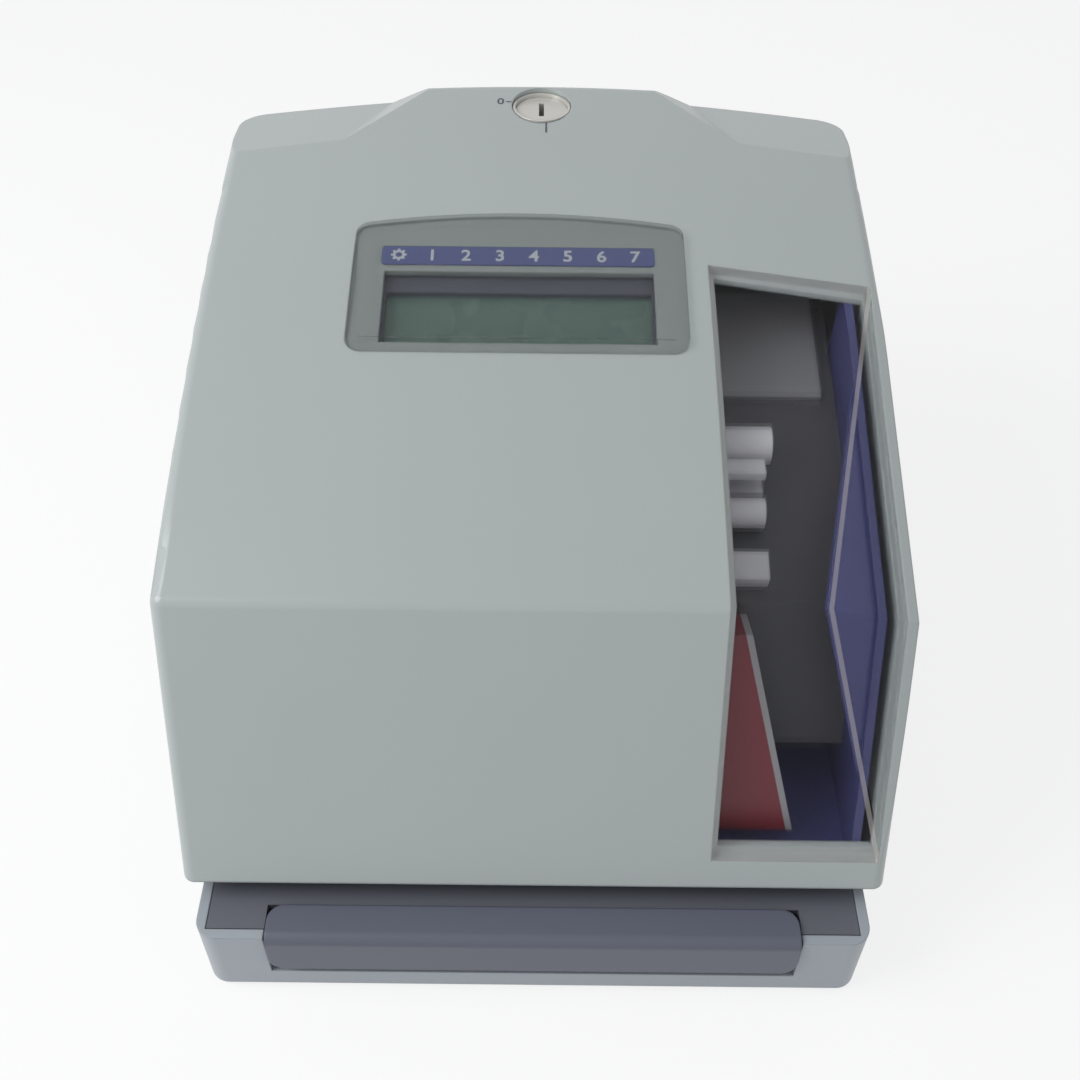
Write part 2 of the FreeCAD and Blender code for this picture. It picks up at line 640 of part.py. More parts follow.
def facet_cutters(name, gap):
    """What is cut away behind the ridge on each side of the lock tab, moved in by gap."""
    cutters = []
    down = math.radians(size("facet_drop"))
    flank = math.radians(size("tab_side_slope"))
    for side in (-1, 1):
        y_mid, y_side = size("ridge_middle"), size("ridge_side")
        inner = (side * size("tab_base"), y_mid, size(top_height("ridge_middle")) - size(gap))
        outer = (side * size(HALF_WIDTH), y_side, size(top_height("ridge_side")) - size(gap))
        behind = (
            inner[0],
            inner[1] + math.cos(down),
            inner[2] - math.sin(down),
        )
        rear = (side * size("tab_end"), size(REAR), size(REAR_HEIGHT) - size(gap))
        along_tab = FreeCAD.Vector(*rear) - FreeCAD.Vector(*inner)
        outward = FreeCAD.Vector(along_tab.y, -along_tab.x, 0) * side
        outward.normalize()
        flank_normal = outward * math.sin(flank) + FreeCAD.Vector(0, 0, math.cos(flank))
        flank_normal = flank_normal - along_tab * (flank_normal.dot(along_tab) / along_tab.dot(along_tab))
        above = half_space(f"{name}_facet_{side + 1}", inner, plane_normal(inner, outer, behind))
        beside = half_space(f"{name}_flank_{side + 1}", inner, flank_normal)
        cutters.append(common(f"{name}_cut_{side + 1}", above, beside))
    return cutters


def gem_cutters(name, gap):
    """What is cut away for the two gem facets at the window's right edge, moved in by gap."""
    edge_x = size(f"{HALF_WIDTH} - window_flange")
    top_y = size("window_rear - window_skew")
    top = (edge_x, top_y, size(top_height("window_rear - window_skew")))
    sill = (edge_x, size(face_in("0", "window_sill")), size("window_sill"))
    inner = (size(f"{HALF_WIDTH} - facet_width"), -size("break_front"), size("break_height"))
    outer_y = -size("break_front") + size("facet_depth") / 4
    outer = (size(HALF_WIDTH), outer_y, size("break_height - facet_depth"))
    cutters = []
    for place, end in (("top", top), ("front", sill)):
        normal = plane_normal(end, inner, outer)
        point = FreeCAD.Vector(*inner) - normal * size(gap)
        cutters.append(half_space(f"{name}_gem_{place}", point, normal))
    return cutters


def case_form(name, gap, foot):
    """The cover's whole outer form with its facets, moved in by gap."""
    raw = case_solid(name + "_raw", gap, foot)
    if gap == "0":
        top_edges = size("break_height") - NEAR
        round_edges(
            raw,
            lambda e: middle(e).z > top_edges
            or (abs(middle(e).x) > size(HALF_WIDTH) - NEAR and middle(e).y < -size("break_front") - 5
                and not along(e, "y")),
            "edge_round",
        )
    return cut(name, raw, *facet_cutters(name, gap), *gem_cutters(name, gap))


def window_region(name, gap):
    """The part of the case that the clear window takes up, shrunk by gap at its edges."""
    owner = new_body(name)
    left = f"(window_left + ({gap}))"
    right = f"({HALF_WIDTH} - window_flange - ({gap}))"
    outline = sketch(owner, name + "_outline", "XY", [[
        (left, f"-{SPAN}"),
        (right, f"-{SPAN}"),
        (right, f"(window_rear - window_skew - ({gap}))"),
        (left, f"(window_rear - ({gap}))"),
    ]], height=f"window_sill + ({gap})")
    pad(owner, outline, SPAN)
    return owner


def lens_frame(name):
    """A body tilted to lie on the arched top at the middle of the display."""
    return new_body(name, ("lens_side", "lens_middle", top_height("lens_middle")), top_slope("lens_middle"))


def lens_outline(gap):
    half = f"(lens_width / 2 - ({gap}))"
    end = f"(lens_length / 2 - ({gap}))"
    arch = f"((lens_width * lens_width / 4 + lens_arch * lens_arch) / (2 * lens_arch) - ({gap}))"
    return [(f"-{half}", f"-{end}"), (half, f"-{end}"), (half, end, arch), (f"-{half}", end)]


def rectangle(x, y):
    """Four corners from (low, high) along each sketch axis."""
    return [(x[0], y[0]), (x[1], y[0]), (x[1], y[1]), (x[0], y[1])]


DISPLAY = rectangle(
    ("-display_width / 2", "display_width / 2"),
    ("display_front - lens_length / 2", "display_front + display_length - lens_length / 2"),
)


def make_top_cover():
    outer = case_form("case_outer", "0", "rim_height")
    inner = case_form("case_inner", "cover_wall", "rim_height - edge_round")
    inner_ledge = case_form("case_ledge", "cover_wall + ledge_wall", "rim_height - edge_round")
    shell = cut("cover_shell", outer, inner)
    region = window_region("window_hole", "0")
    ledge_ring = cut("ledge_ring", window_region("ledge_outer", "-ledge_wall"),
                     window_region("ledge_inner", "ledge_wall"))
    ledge = common("window_ledge", cut("ledge_layer", inner, inner_ledge), ledge_ring)
    lens_seat = lens_frame("lens_seat")
    seat = sketch(lens_seat, "lens_seat_outline", "XY", [lens_outline("-fit_gap")], height="-lens_sink")
    pad(lens_seat, seat, "cover_wall * 4")
    round_edges(lens_seat, lambda e: along_local(e, lens_seat), "lens_round")
    opening = lens_frame("display_opening")
    hole = sketch(opening, "display_opening_outline", "XY", [DISPLAY])
    pad(opening, hole, "cover_wall * 4", both=True)
    lock_hole = rod("lock_hole", "z", ("0", "lock_back"),
                    ("lock_top - barrel_length", "lock_top + cover_wall"), "lock_bore")
    recess = rod("lock_recess_cut", "z", ("0", "lock_back"), (LOCK_UNDER, "lock_top + cover_wall"),
                 "lock_recess")
    seat_pad = rod("lock_boss", "z", ("0", "lock_back"), (f"{LOCK_UNDER} - cover_wall", "lock_top"),
                   "lock_recess + cover_wall")
    boss = common("lock_boss_trim", seat_pad, outer)
    body_shell = cut("cover_cut", cut("cover_less_window", shell, region), lens_seat, opening)
    ribs = []
    for side in (-1, 1):
        for place, at in (("front", "rib_front"), ("rear", "rib_rear")):
            inner_x, outer_x = f"{HALF_WIDTH} - rib_reach", f"{HALF_WIDTH} - cover_wall / 2"
            x = (inner_x, outer_x) if side > 0 else (f"-({outer_x})", f"-({inner_x})")
            ribs.append(block(f"rib_{place}_{side + 1}", x, (at, f"{at} + rib_wall"),
                              ("rim_height + lip_height", "rim_height + lip_height + rib_height")))
    whole = fuse("cover_whole", body_shell, ledge, boss, *ribs)
    cover = node(cut("top_cover", whole, lock_hole, recess), "top_cover")
    clear_inner = case_form("window_inner", "cover_wall - seat_gap", "rim_height - edge_round")
    clear = common("side_window", cut("window_layer", outer, clear_inner),
                   window_region("window_edge", "fit_gap / 2"))
    node(clear, "side_window")
    return cover


def along_local(edge, owner):
    """Whether an edge runs along its tilted body's own Z, seen in the body's frame."""
    if edge.Degenerated:
        return False
    line = edge.Curve
    return isinstance(line, Part.Line) and abs(line.Direction.z) > PARALLEL


def make_display():
    lens = lens_frame("display_lens")
    plate = sketch(lens, "lens_plate", "XY", [lens_outline("0")], height="-lens_sink + seat_gap")
    pad(lens, plate, "lens_sink - seat_gap + lens_proud")
    round_edges(lens, lambda e: along_local(e, lens), "lens_round")
    well = sketch(lens, "lens_well", "XY", [lens_outline("lens_band")], height="lens_proud")
    pocket(lens, well, "lens_proud - lens_floor + lens_sink - seat_gap")
    label_space = sketch(lens, "strip_space", "XY", [STRIP], height="-lens_sink")
    pocket(lens, label_space, "strip_wall + seat_gap", back=True)
    node(lens, "display_lens")
    strip = lens_frame("day_strip")
    printed = sketch(strip, "strip_outline", "XY", [STRIP], height="-lens_sink")
    pad(strip, printed, "strip_wall")
    round_edges(strip, lambda e: along_local(e, strip), "strip_round")
    node(strip, "day_strip")
    mask = lens_frame("display_mask")
    rim = sketch(mask, "mask_rim", "XY", [rectangle(
        ("-display_width / 2 - mask_rim", "display_width / 2 + mask_rim"),
        (f"{DISPLAY[0][1]} - mask_rim", f"{DISPLAY[2][1]} + mask_rim"))], height="-mask_top")
    pad(mask, rim, "lcd_depth", back=True)
    sight = sketch(mask, "mask_sight", "XY", [rectangle(
        ("mask_side - display_width / 2", "display_width / 2 - mask_side"),
        (f"{DISPLAY[0][1]} + mask_side", f"{DISPLAY[2][1]} - mask_band"))], height="-mask_top")
    pocket(mask, sight, "lcd_depth * 2")
    node(mask, "display_mask")
    glass = lens_frame("lcd_panel")
    pane = sketch(glass, "lcd_pane", "XY", [rectangle(
        ("-display_width / 2", "display_width / 2"), (DISPLAY[0][1], DISPLAY[2][1]))],
        height="-mask_top - lcd_depth")
    pad(glass, pane, "lcd_thick", back=True)
    node(glass, "lcd_panel")
    board = lens_frame("display_board")
    card = sketch(board, "display_card", "XY", [rectangle(
        ("-display_width / 2 - board_rim", "display_width / 2 + board_rim"),
        (f"{DISPLAY[0][1]} - board_rim", f"{DISPLAY[2][1]} + board_rim"))],
        height="-mask_top - lcd_depth - lcd_thick")
    pad(board, card, "card_thick", back=True)
    node(board, "display_board")
    under = "mask_top + lcd_depth + lcd_thick + card_thick"
    shelf = lens_frame("bracket_shelf")
    left, right = "-display_width / 2 - board_rim", "display_width / 2 + board_rim"
    front, rear = "-lens_middle - frame_back - spacer_height * 2", f"{DISPLAY[2][1]} + board_rim"
    pad(shelf, sketch(shelf, "bracket_plan", "XY", [rectangle((left, right), (front, rear))],
                      height=f"-({under}) - spacer_height"), "sheet_wall", back=True)
    corners = []
    for x in ("-display_width / 2", "display_width / 2"):
        for y in (DISPLAY[0][1], DISPLAY[2][1]):
            corners.append(("circle", x, y, "screw_radius"))
    pad(shelf, sketch(shelf, "bracket_spacers", "XY", corners, height=f"-({under}) - spacer_height"),
        "spacer_height")
    tilt = top_slope("lens_middle")
    shelf_top = (f"({top_height('lens_middle')} - (lens_middle + frame_back) * tan({tilt})"
                 f" - ({under} + spacer_height) / cos({tilt}))")
    upright = block("bracket_upright", (f"lens_side + {left}", f"lens_side + {right} - bracket_drop"),
                    ("-frame_back", "sheet_wall - frame_back"),
                    ("left_top - bracket_drop", f"{shelf_top} - sheet_wall / 2"))
    node(fuse("display_bracket", shelf, upright), "display_bracket")


STRIP = rectangle(
    ("strip_left - lens_side", "strip_right - lens_side"),
    ("strip_front - lens_middle", "strip_rear - lens_middle"),
)


LOCK_UNDER = "(lock_top - lock_sink - face_wall)"
CAM_TOP = "(lock_top - lock_sink - face_wall - barrel_length)"


def make_lock():
    axis = ("0", "lock_back")
    barrel = rod("barrel_core", "z", axis, (CAM_TOP, LOCK_UNDER), "lock_bore - fit_gap / 2")
    collar = rod("barrel_collar", "z", axis, (LOCK_UNDER, "lock_top - lock_sink + collar_wall"),
                 "lock_recess - fit_gap")
    floor = f"{LOCK_UNDER} + collar_floor"
    hollow = rod("barrel_hollow", "z", axis, (CAM_TOP, floor), "lock_core + spin_gap")
    face_room = rod("barrel_face_room", "z", axis, (floor, "lock_top - lock_sink + collar_wall"),
                    "lock_radius + spin_gap")
    node(cut("lock_barrel", fuse("barrel_body", barrel, collar), hollow, face_room), "lock_barrel")
    core = rod("plug_core", "z", axis, (CAM_TOP, LOCK_UNDER), "lock_core")
    face = rod("plug_face", "z", axis,
               (f"{LOCK_UNDER} + collar_floor + fit_gap / 2", "lock_top - lock_sink"), "lock_radius")
    neck = rod("plug_neck", "z", axis, (LOCK_UNDER, "lock_top - lock_sink - face_wall / 2"), "lock_core")
    stem = rod("plug_stem", "z", axis, (f"{CAM_TOP} - cam_wall * 2", CAM_TOP), "lock_radius / 2")
    slot = block("key_slot", ("-slot_width / 2", "slot_width / 2"),
                 ("lock_back - slot_length / 2", "lock_back + slot_length / 2"),
                 ("lock_top - slot_depth", "lock_top + cover_wall"))
    node(cut("lock_plug", fuse("plug_body", core, neck, face, stem), slot), "lock_plug")
    arm = block("cam_arm", ("-cam_reach", "0"), ("lock_back - cam_half", "lock_back + cam_half"),
                (f"{CAM_TOP} - cam_wall", CAM_TOP))
    disc = rod("cam_disc", "z", axis, (f"{CAM_TOP} - cam_wall", CAM_TOP), "cam_half")
    bore = rod("cam_bore", "z", axis, (f"{CAM_TOP} - cam_wall", CAM_TOP), "lock_radius / 2")
    node(cut("lock_cam", fuse("cam_body", arm, disc), bore), "lock_cam")
    nut_top = "(lock_top - lock_sink - face_wall - cover_wall)"
    nut = doc.addObject("Part::Prism", "nut_body")
    nut.Polygon = 6
    bind(nut, "Circumradius", "nut_radius")
    bind(nut, "Height", "nut_wall")
    bind(nut, "Placement.Base.y", "lock_back")
    bind(nut, "Placement.Base.z", f"{nut_top} - nut_wall")
    nut_bore = rod("nut_bore", "z", axis, (f"{nut_top} - nut_wall", nut_top), "lock_bore - fit_gap / 2")
    node(cut("lock_nut", nut, nut_bore), "lock_nut")


def make_base_tray():
    tray = new_body("base_tray")
    rear_side = f"({REAR} - rear_sag - tray_inset)"
    floor = [
        (f"-{TRAY_HALF}", TRAY_FRONT), (TRAY_HALF, TRAY_FRONT),
        (TRAY_HALF, rear_side, f"{REAR_RADIUS} - tray_inset"), (f"-{TRAY_HALF}", rear_side),
    ]
    pad(tray, sketch(tray, "tray_outline", "XY", [floor], height="foot_height"),
        "rim_height + lip_height - foot_height")
    round_edges(tray, lambda e: along(e, "z"), "tray_corner")
    wall = "tray_wall"
    inner_front = f"({TRAY_FRONT} + {wall})"
    inner_half = f"({TRAY_HALF} - {wall})"
    inner_rear = f"({rear_side} - {wall})"
    cross = "(-throat_end + tray_wall)"
    front_room = rectangle((f"-{inner_half}", inner_half), (inner_front, "-throat_end"))
    rear_room = [
        (f"-{inner_half}", cross), (inner_half, cross),
        (inner_half, inner_rear, f"{REAR_RADIUS} - tray_inset - {wall}"), (f"-{inner_half}", inner_rear),
    ]
    rooms = sketch(tray, "tray_rooms", "XY", [front_room, rear_room], height="rim_height + lip_height")
    pocket(tray, rooms, "rim_height + lip_height - foot_height - tray_wall")
    mouth = sketch(tray, "tray_mouth", "YZ",
                   [rectangle((f"-{SPAN}", "-throat_end"), ("plate_top", SPAN))])
    pocket(tray, mouth, f"{SPAN} * 2", both=True)
    lowered = sketch(tray, "cross_top", "YZ", [rectangle(("-throat_end", cross), ("rim_height", SPAN))])
    pocket(tray, lowered, f"2 * {inner_half}", both=True)
    notch = sketch(tray, "bar_notch", "XZ", [rectangle(
        ("-bar_width / 2 - bar_gap", "bar_width / 2 + bar_gap"),
        ("bar_foot - bar_travel - bar_gap * 2", SPAN))], height=TRAY_FRONT)
    pocket(tray, notch, f"{wall} * 2", both=True)
    on_floor = "foot_height + tray_wall"
    posts = sketch(tray, "guide_posts", "XY", [
        ("circle", "-guide_side", GUIDE_Y, "guide_radius"),
        ("circle", "guide_side", GUIDE_Y, "guide_radius")], height=on_floor)
    pad(tray, posts, f"guide_top - ({on_floor})")
    pegs = sketch(tray, "spring_pegs", "XY", [
        ("circle", "-spring_side", GUIDE_Y, "spring_radius - spring_wire"),
        ("circle", "spring_side", GUIDE_Y, "spring_radius - spring_wire")], height=on_floor)
    pad(tray, pegs, "spring_wire * 6")
    plate_foot = "plate_top - plate_wall"
    rails = sketch(tray, "plate_rails", "XY", [
        rectangle((f"-{inner_half}", f"-{inner_half} + tray_wall"), (inner_front, "-throat_end")),
        rectangle((f"{inner_half} - tray_wall", inner_half), (inner_front, "-throat_end"))],
        height=f"{plate_foot} - tray_wall")
    pad(tray, rails, "tray_wall")
    under_anvil = ("-print_line - anvil_half", "-print_line + anvil_half")
    behind_bar = ("-plate_step", "-print_line - anvil_half")
    ribs = sketch(tray, "anvil_ribs", "XY", [
        rectangle(("anvil_left - tray_wall", "anvil_left + tray_wall * 2"), under_anvil),
        rectangle(("anvil_right - tray_wall * 2", "anvil_right + tray_wall"), under_anvil),
        rectangle(("-bar_width / 2", "-bar_width / 2 + tray_wall"), behind_bar),
        rectangle(("bar_width / 2 - tray_wall", "bar_width / 2"), behind_bar)], height=on_floor)
    pad(tray, ribs, f"anvil_foot - ({on_floor})")
    board_posts = []
    for x in ("-board_half + board_rim", "board_half - board_rim"):
        for y in ("board_front + board_rim", "board_rear - board_rim"):
            board_posts.append(("circle", x, y, "board_rim"))
    pad(tray, sketch(tray, "board_posts", "XY", board_posts, height=on_floor), f"board_height - ({on_floor})")
    frame_posts = sketch(tray, "frame_posts", "XY", [
        ("circle", x, "foot_back", "board_rim") for _, x in FRAME_FEET], height=on_floor)
    pad(tray, frame_posts, f"frame_height - ({on_floor})")
    holes = sketch(tray, "fixing_holes", "XY", [
        ("circle", "-hole_spacing / 2", "-hole_line", "hole_radius"),
        ("circle", "hole_spacing / 2", "-hole_line", "hole_radius")], height=on_floor)
    pocket(tray, holes, "tray_wall * 2")
    inlet = sketch(tray, "inlet_hole", "XZ", [("circle", "-inlet_side", "inlet_height", "inlet_radius")],
                   height=f"{REAR}")
    pocket(tray, inlet, "rear_sag + tray_inset * 3", back=True)
    node(tray, "base_tray")


GUIDE_Y = "(-overall_depth / 2 + bar_depth / 2 + guide_set)"


def make_feet():
    feet = []
    for x in ("-foot_side", "foot_side"):
        for y in ("-foot_front", "foot_rear"):
            name = f"foot_{len(feet)}"
            feet.append(rod(name, "z", (x, y), ("0", "foot_height"),
                            "foot_radius - foot_height / 2", "foot_radius"))
    node(group("rubber_feet", *feet), "rubber_feet")


def make_plate_and_bar():
    plate = new_body("throat_plate")
    half = f"({TRAY_HALF} - tray_wall - fit_gap)"
    front = f"({TRAY_FRONT} + tray_wall + fit_gap)"
    step_x = "(bar_width / 2 + bar_gap)"
    outline = [
        (f"-{half}", front), (f"-{step_x}", front), (f"-{step_x}", "-plate_step"), (step_x, "-plate_step"),
        (step_x, front), (half, front), (half, "-throat_end - fit_gap"), (f"-{half}", "-throat_end - fit_gap"),
    ]
    pad(plate, sketch(plate, "plate_outline", "XY", [outline], height="plate_top - plate_wall"), "plate_wall")
    strip = rectangle(("anvil_left", "anvil_right"), ("-print_line - strip_half", "-print_line + strip_half"))
    tongue = rectangle(("-tongue_half - fit_gap", "tongue_half + fit_gap"),
                       ("-stop_back - stop_thick - stop_travel - fit_gap",
                        "-stop_back + tongue_length + fit_gap"))
    pocket(plate, sketch(plate, "plate_slots", "XY", [strip, tongue], height="plate_top"), "plate_wall * 2")
    node(plate, "throat_plate")
    rubber = block("platen_strip", ("anvil_left + fit_gap", "anvil_right - fit_gap"),
                   ("-print_line - strip_half + fit_gap", "-print_line + strip_half - fit_gap"),
                   ("plate_top - plate_wall", "plate_top"))
    node(rubber, "platen_strip")
    anvil = block("platen_anvil", ("anvil_left - tray_wall", "anvil_right + tray_wall"),
                  ("-print_line - anvil_half", "-print_line + anvil_half"),
                  ("anvil_foot", "plate_top - plate_wall"))
    node(anvil, "platen_anvil")
    bar = new_body("print_bar")
    face = sketch(bar, "bar_face", "XZ", [rectangle(
        ("-bar_width / 2", "bar_width / 2"), ("bar_foot", "plate_top + bar_proud"))], height=f"-{REAR}")
    pad(bar, face, "bar_depth", back=True)
    round_edges(bar, lambda e: along(e, "y") and middle(e).z < size("bar_foot") + NEAR, "bar_corner")
    round_edges(bar, lambda e: along(e, "z") and middle(e).y > -size(f"{REAR} - bar_depth / 2"), "bar_corner")
    round_edges(bar, lambda e: along(e, "x") and middle(e).y < -size(REAR) + NEAR
                and middle(e).z > size("plate_top"), "bar_edge")
    sleeves = sketch(bar, "bar_sleeves", "XY", [
        ("circle", "-guide_side", GUIDE_Y, "guide_radius + spin_gap"),
        ("circle", "guide_side", GUIDE_Y, "guide_radius + spin_gap")], height="bar_foot")
    pocket(bar, sleeves, "guide_top + bar_travel - bar_foot + bar_gap", back=True)
    wells = sketch(bar, "spring_wells", "XY", [
        ("circle", "-spring_side", GUIDE_Y, "spring_radius + spring_wire"),
        ("circle", "spring_side", GUIDE_Y, "spring_radius + spring_wire")], height="bar_foot")
    pocket(bar, wells, "spring_well", back=True)
    arm = sketch(bar, "bar_arm", "XY", [rectangle(
        ("switch_side - tongue_half", "switch_side + tongue_half"),
        (f"-{REAR} + bar_depth / 2", f"-{REAR} + bar_depth + arm_reach"))], height="bar_foot")
    pad(bar, arm, "plate_wall")
    node(bar, "print_bar")
    springs = []
    for side in (-1, 1):
        low = size("foot_height + tray_wall")
        height = size("bar_foot + spring_well") - low - size("spring_wire")
        coil = Part.makeHelix(height / size("spring_turns"), height, size("spring_radius"))
        wire = size("spring_wire") / 2
        near, far = size("spring_radius") - wire, size("spring_radius") + wire
        corners = [(near, -wire), (far, -wire), (far, wire), (near, wire), (near, -wire)]
        section = Part.makePolygon([FreeCAD.Vector(x, 0, z) for x, z in corners])
        swept = Part.Wire(coil).makePipeShell([section], True, True)
        spring = doc.addObject("Part::Feature", f"spring_{side + 1}")
        spring.Shape = swept
        spring.Placement.Base = FreeCAD.Vector(side * size("spring_side"), size(GUIDE_Y), low + wire)
        springs.append(spring)
    node(group("bar_springs", *springs), "bar_springs")
    on_floor = "foot_height + tray_wall"
    case = block("switch_case", ("switch_side - switch_half", "switch_side + switch_half"),
                 (f"-{REAR} + bar_depth + bar_gap", f"-{REAR} + bar_depth + arm_reach + bar_gap * 2"),
                 (on_floor, "switch_top"))
    button = block("switch_button", ("switch_side - tongue_half / 2", "switch_side + tongue_half / 2"),
                   (f"-{REAR} + bar_depth + arm_reach / 3", f"-{REAR} + bar_depth + arm_reach"),
                   ("switch_top", "bar_foot - bar_travel"))
    node(fuse("bar_switch", case, button), "bar_switch")


FRAME_FEET = (("left", "(-frame_foot)"), ("right", "(right_plate - board_rim * 1.5)"))


def make_chassis():
    guide = new_body("guide_body")
    half = f"({TRAY_HALF} - tray_wall - fit_gap)"
    floor = sketch(guide, "guide_floor", "XY", [rectangle(
        (f"-{half}", half), ("-guide_front", "-throat_end + tray_wall"))], height="rim_height")
    pad(guide, floor, "plate_wall")
    slot = sketch(guide, "guide_slot", "XY", [rectangle(
        ("ribbon_left", "ribbon_right"),
        ("-print_line - strip_half - fit_gap", "-print_line + strip_half + fit_gap"))],
        height="rim_height + plate_wall")
    pocket(guide, slot, "plate_wall * 2")
    fence = sketch(guide, "guide_fence", "YZ", [rectangle(
        ("-guide_front", "fence_rear"), ("rim_height", "rim_height + break_height"))],
        height=f"{half} - plate_wall")
    pad(guide, fence, "plate_wall")
    fence_form = case_form("fence_form", "fence_gap", "rim_height")
    node(common("paper_guide", guide, fence_form), "paper_guide")
    floor_top = "rim_height + plate_wall"
    for label, x, top in (("left_plate", "-left_plate", "left_top"),
                          ("right_plate", "right_plate - sheet_wall", "right_top")):
        cheek = new_body(label)
        outline = sketch(cheek, label + "_outline", "YZ", [[
            ("-cheek_front", floor_top), ("-frame_back - sheet_wall", floor_top),
            ("-frame_back - sheet_wall", top), ("-shaft_back", f"{top} - cheek_slant / 4"),
            ("-cheek_front", f"{top} - cheek_slant"),
        ]], height=x)
        pad(cheek, outline, "sheet_wall")
        bores = [("circle", "-shaft_back", z, "shaft_radius")
                 for z in ("lower_rod_height", "upper_rod_height")]
        if label == "right_plate":
            bores.append(("circle", "-knob_back", "knob_height", "pin_radius + spin_gap"))
            bores.append(("circle", "-roller_back", "roller_height", "pin_radius + spin_gap"))
        holes = sketch(cheek, label + "_bores", "YZ", [*bores], height=x)
        pocket(cheek, holes, "sheet_wall * 4", both=True)
        node(cheek, label)
    rear = new_body("rear_plate")
    sheet_face = sketch(rear, "rear_face", "XZ", [
        rectangle(("-left_plate", "right_plate"), ("frame_height", "left_top")),
        ("circle", "motor_distance", "belt_height", "motor_boss"),
        ("circle", "idler_distance", "belt_height", "pin_radius")], height="-frame_back")
    pad(rear, sheet_face, "sheet_wall")
    for name, x in FRAME_FEET:
        foot = sketch(rear, f"rear_foot_{name}", "XY", [
            rectangle((f"{x} - board_rim * 1.5", f"{x} + board_rim * 1.5"),
                      ("-frame_back - sheet_wall", "foot_back + board_rim")),
            ("circle", x, "foot_back", "screw_radius")], height="frame_height")
        pad(rear, foot, "sheet_wall")
    node(rear, "rear_plate")
    ends = ("-left_plate - sheet_wall", "right_plate + sheet_wall / 2")
    for label, z in (("lower_shaft_rod", "lower_rod_height"), ("upper_shaft_rod", "upper_rod_height")):
        node(rod(label, "x", ("-shaft_back", z), ends, "shaft_radius"), label)


FIN_GAPS = 4


def make_carriage():
    mid, half = "carriage_rest", "carriage_half"
    block_body = block("carriage_block", (f"{mid} - {half}", f"{mid} + {half}"),
                       ("-shaft_back - carriage_depth", "-shaft_back + carriage_depth"),
                       ("lower_rod_height - carriage_margin", "upper_rod_height + carriage_margin"))
    window = block("carriage_relief", (f"{mid} - {half} / 2", f"{mid} + {half} / 2"),
                   ("-shaft_back - carriage_depth", "-shaft_back + carriage_depth"),
                   ("lower_rod_height + carriage_margin", "upper_rod_height - carriage_margin"))
    clamp = block("belt_clamp", (f"{mid} - clamp_left", f"{mid} - clamp_left + clamp_width"),
                  ("-shaft_back + carriage_depth", "-belt_back + belt_width / 2 + bar_gap"),
                  ("belt_height - pulley_radius - clamp_drop",
                   "belt_height - pulley_radius + belt_thick + bar_gap"))
    length = (f"{mid} - {half}", f"{mid} + {half}")
    bores = [rod(f"bush_{i}", "x", ("-shaft_back", z), length, "shaft_radius + spin_gap")
             for i, z in enumerate(("lower_rod_height", "upper_rod_height"))]
    belt_way = block("belt_way", (f"{mid} - {half}", f"{mid} + {half}"),
                     ("-belt_back - belt_width / 2 - fit_gap", "-belt_back + belt_width / 2 + fit_gap"),
                     ("belt_height - pulley_radius - belt_thick - fit_gap",
                      "belt_height - pulley_radius + fit_gap"))
    node(cut("carriage", fuse("carriage_body", block_body, clamp), window, *bores, belt_way), "carriage")
    front = f"(-print_line - head_width / 2)"
    back = "(-shaft_back - carriage_depth)"
    body_block = block("head_body", (f"{mid} - head_width / 2", f"{mid} + head_width / 2"), (front, back),
                       ("head_foot", "head_top"))
    nose = rod("head_nose", "z", (mid, "-print_line"), ("ribbon_height + ribbon_wall + fit_gap", "head_foot"),
               "nose_radius / 2", "nose_radius")
    grooves = []
    step = f"(head_top - head_foot) / {2 * FIN_GAPS + 1}"
    for i in range(FIN_GAPS):
        z = (f"head_foot + {2 * i + 1} * {step}", f"head_foot + {2 * i + 2} * {step}")
        ring_outer = block(f"fin_out_{i}", (f"{mid} - head_width", f"{mid} + head_width"),
                           (f"{front} - fin_depth", back), z)
        core_half = "(head_width / 2 - fin_depth)"
        ring_core = block(f"fin_core_{i}", (f"{mid} - {core_half}", f"{mid} + {core_half}"),
                          (f"{front} + fin_depth", back), z)
        grooves.append(cut(f"fin_gap_{i}", ring_outer, ring_core))
    node(cut("print_head", fuse("head_solid", body_block, nose), *grooves), "print_head")


def racetrack(name, radius, y):
    """A solid loop shape round the two pulleys, radius at its ends."""
    ends = [rod(f"{name}_end_{i}", "y", (x, "belt_height"), y, radius)
            for i, x in enumerate(("motor_distance", "idler_distance"))]
    run = block(name + "_run", ("idler_distance", "motor_distance"), y,
                (f"belt_height - ({radius})", f"belt_height + ({radius})"))
    return fuse(name, run, *ends)


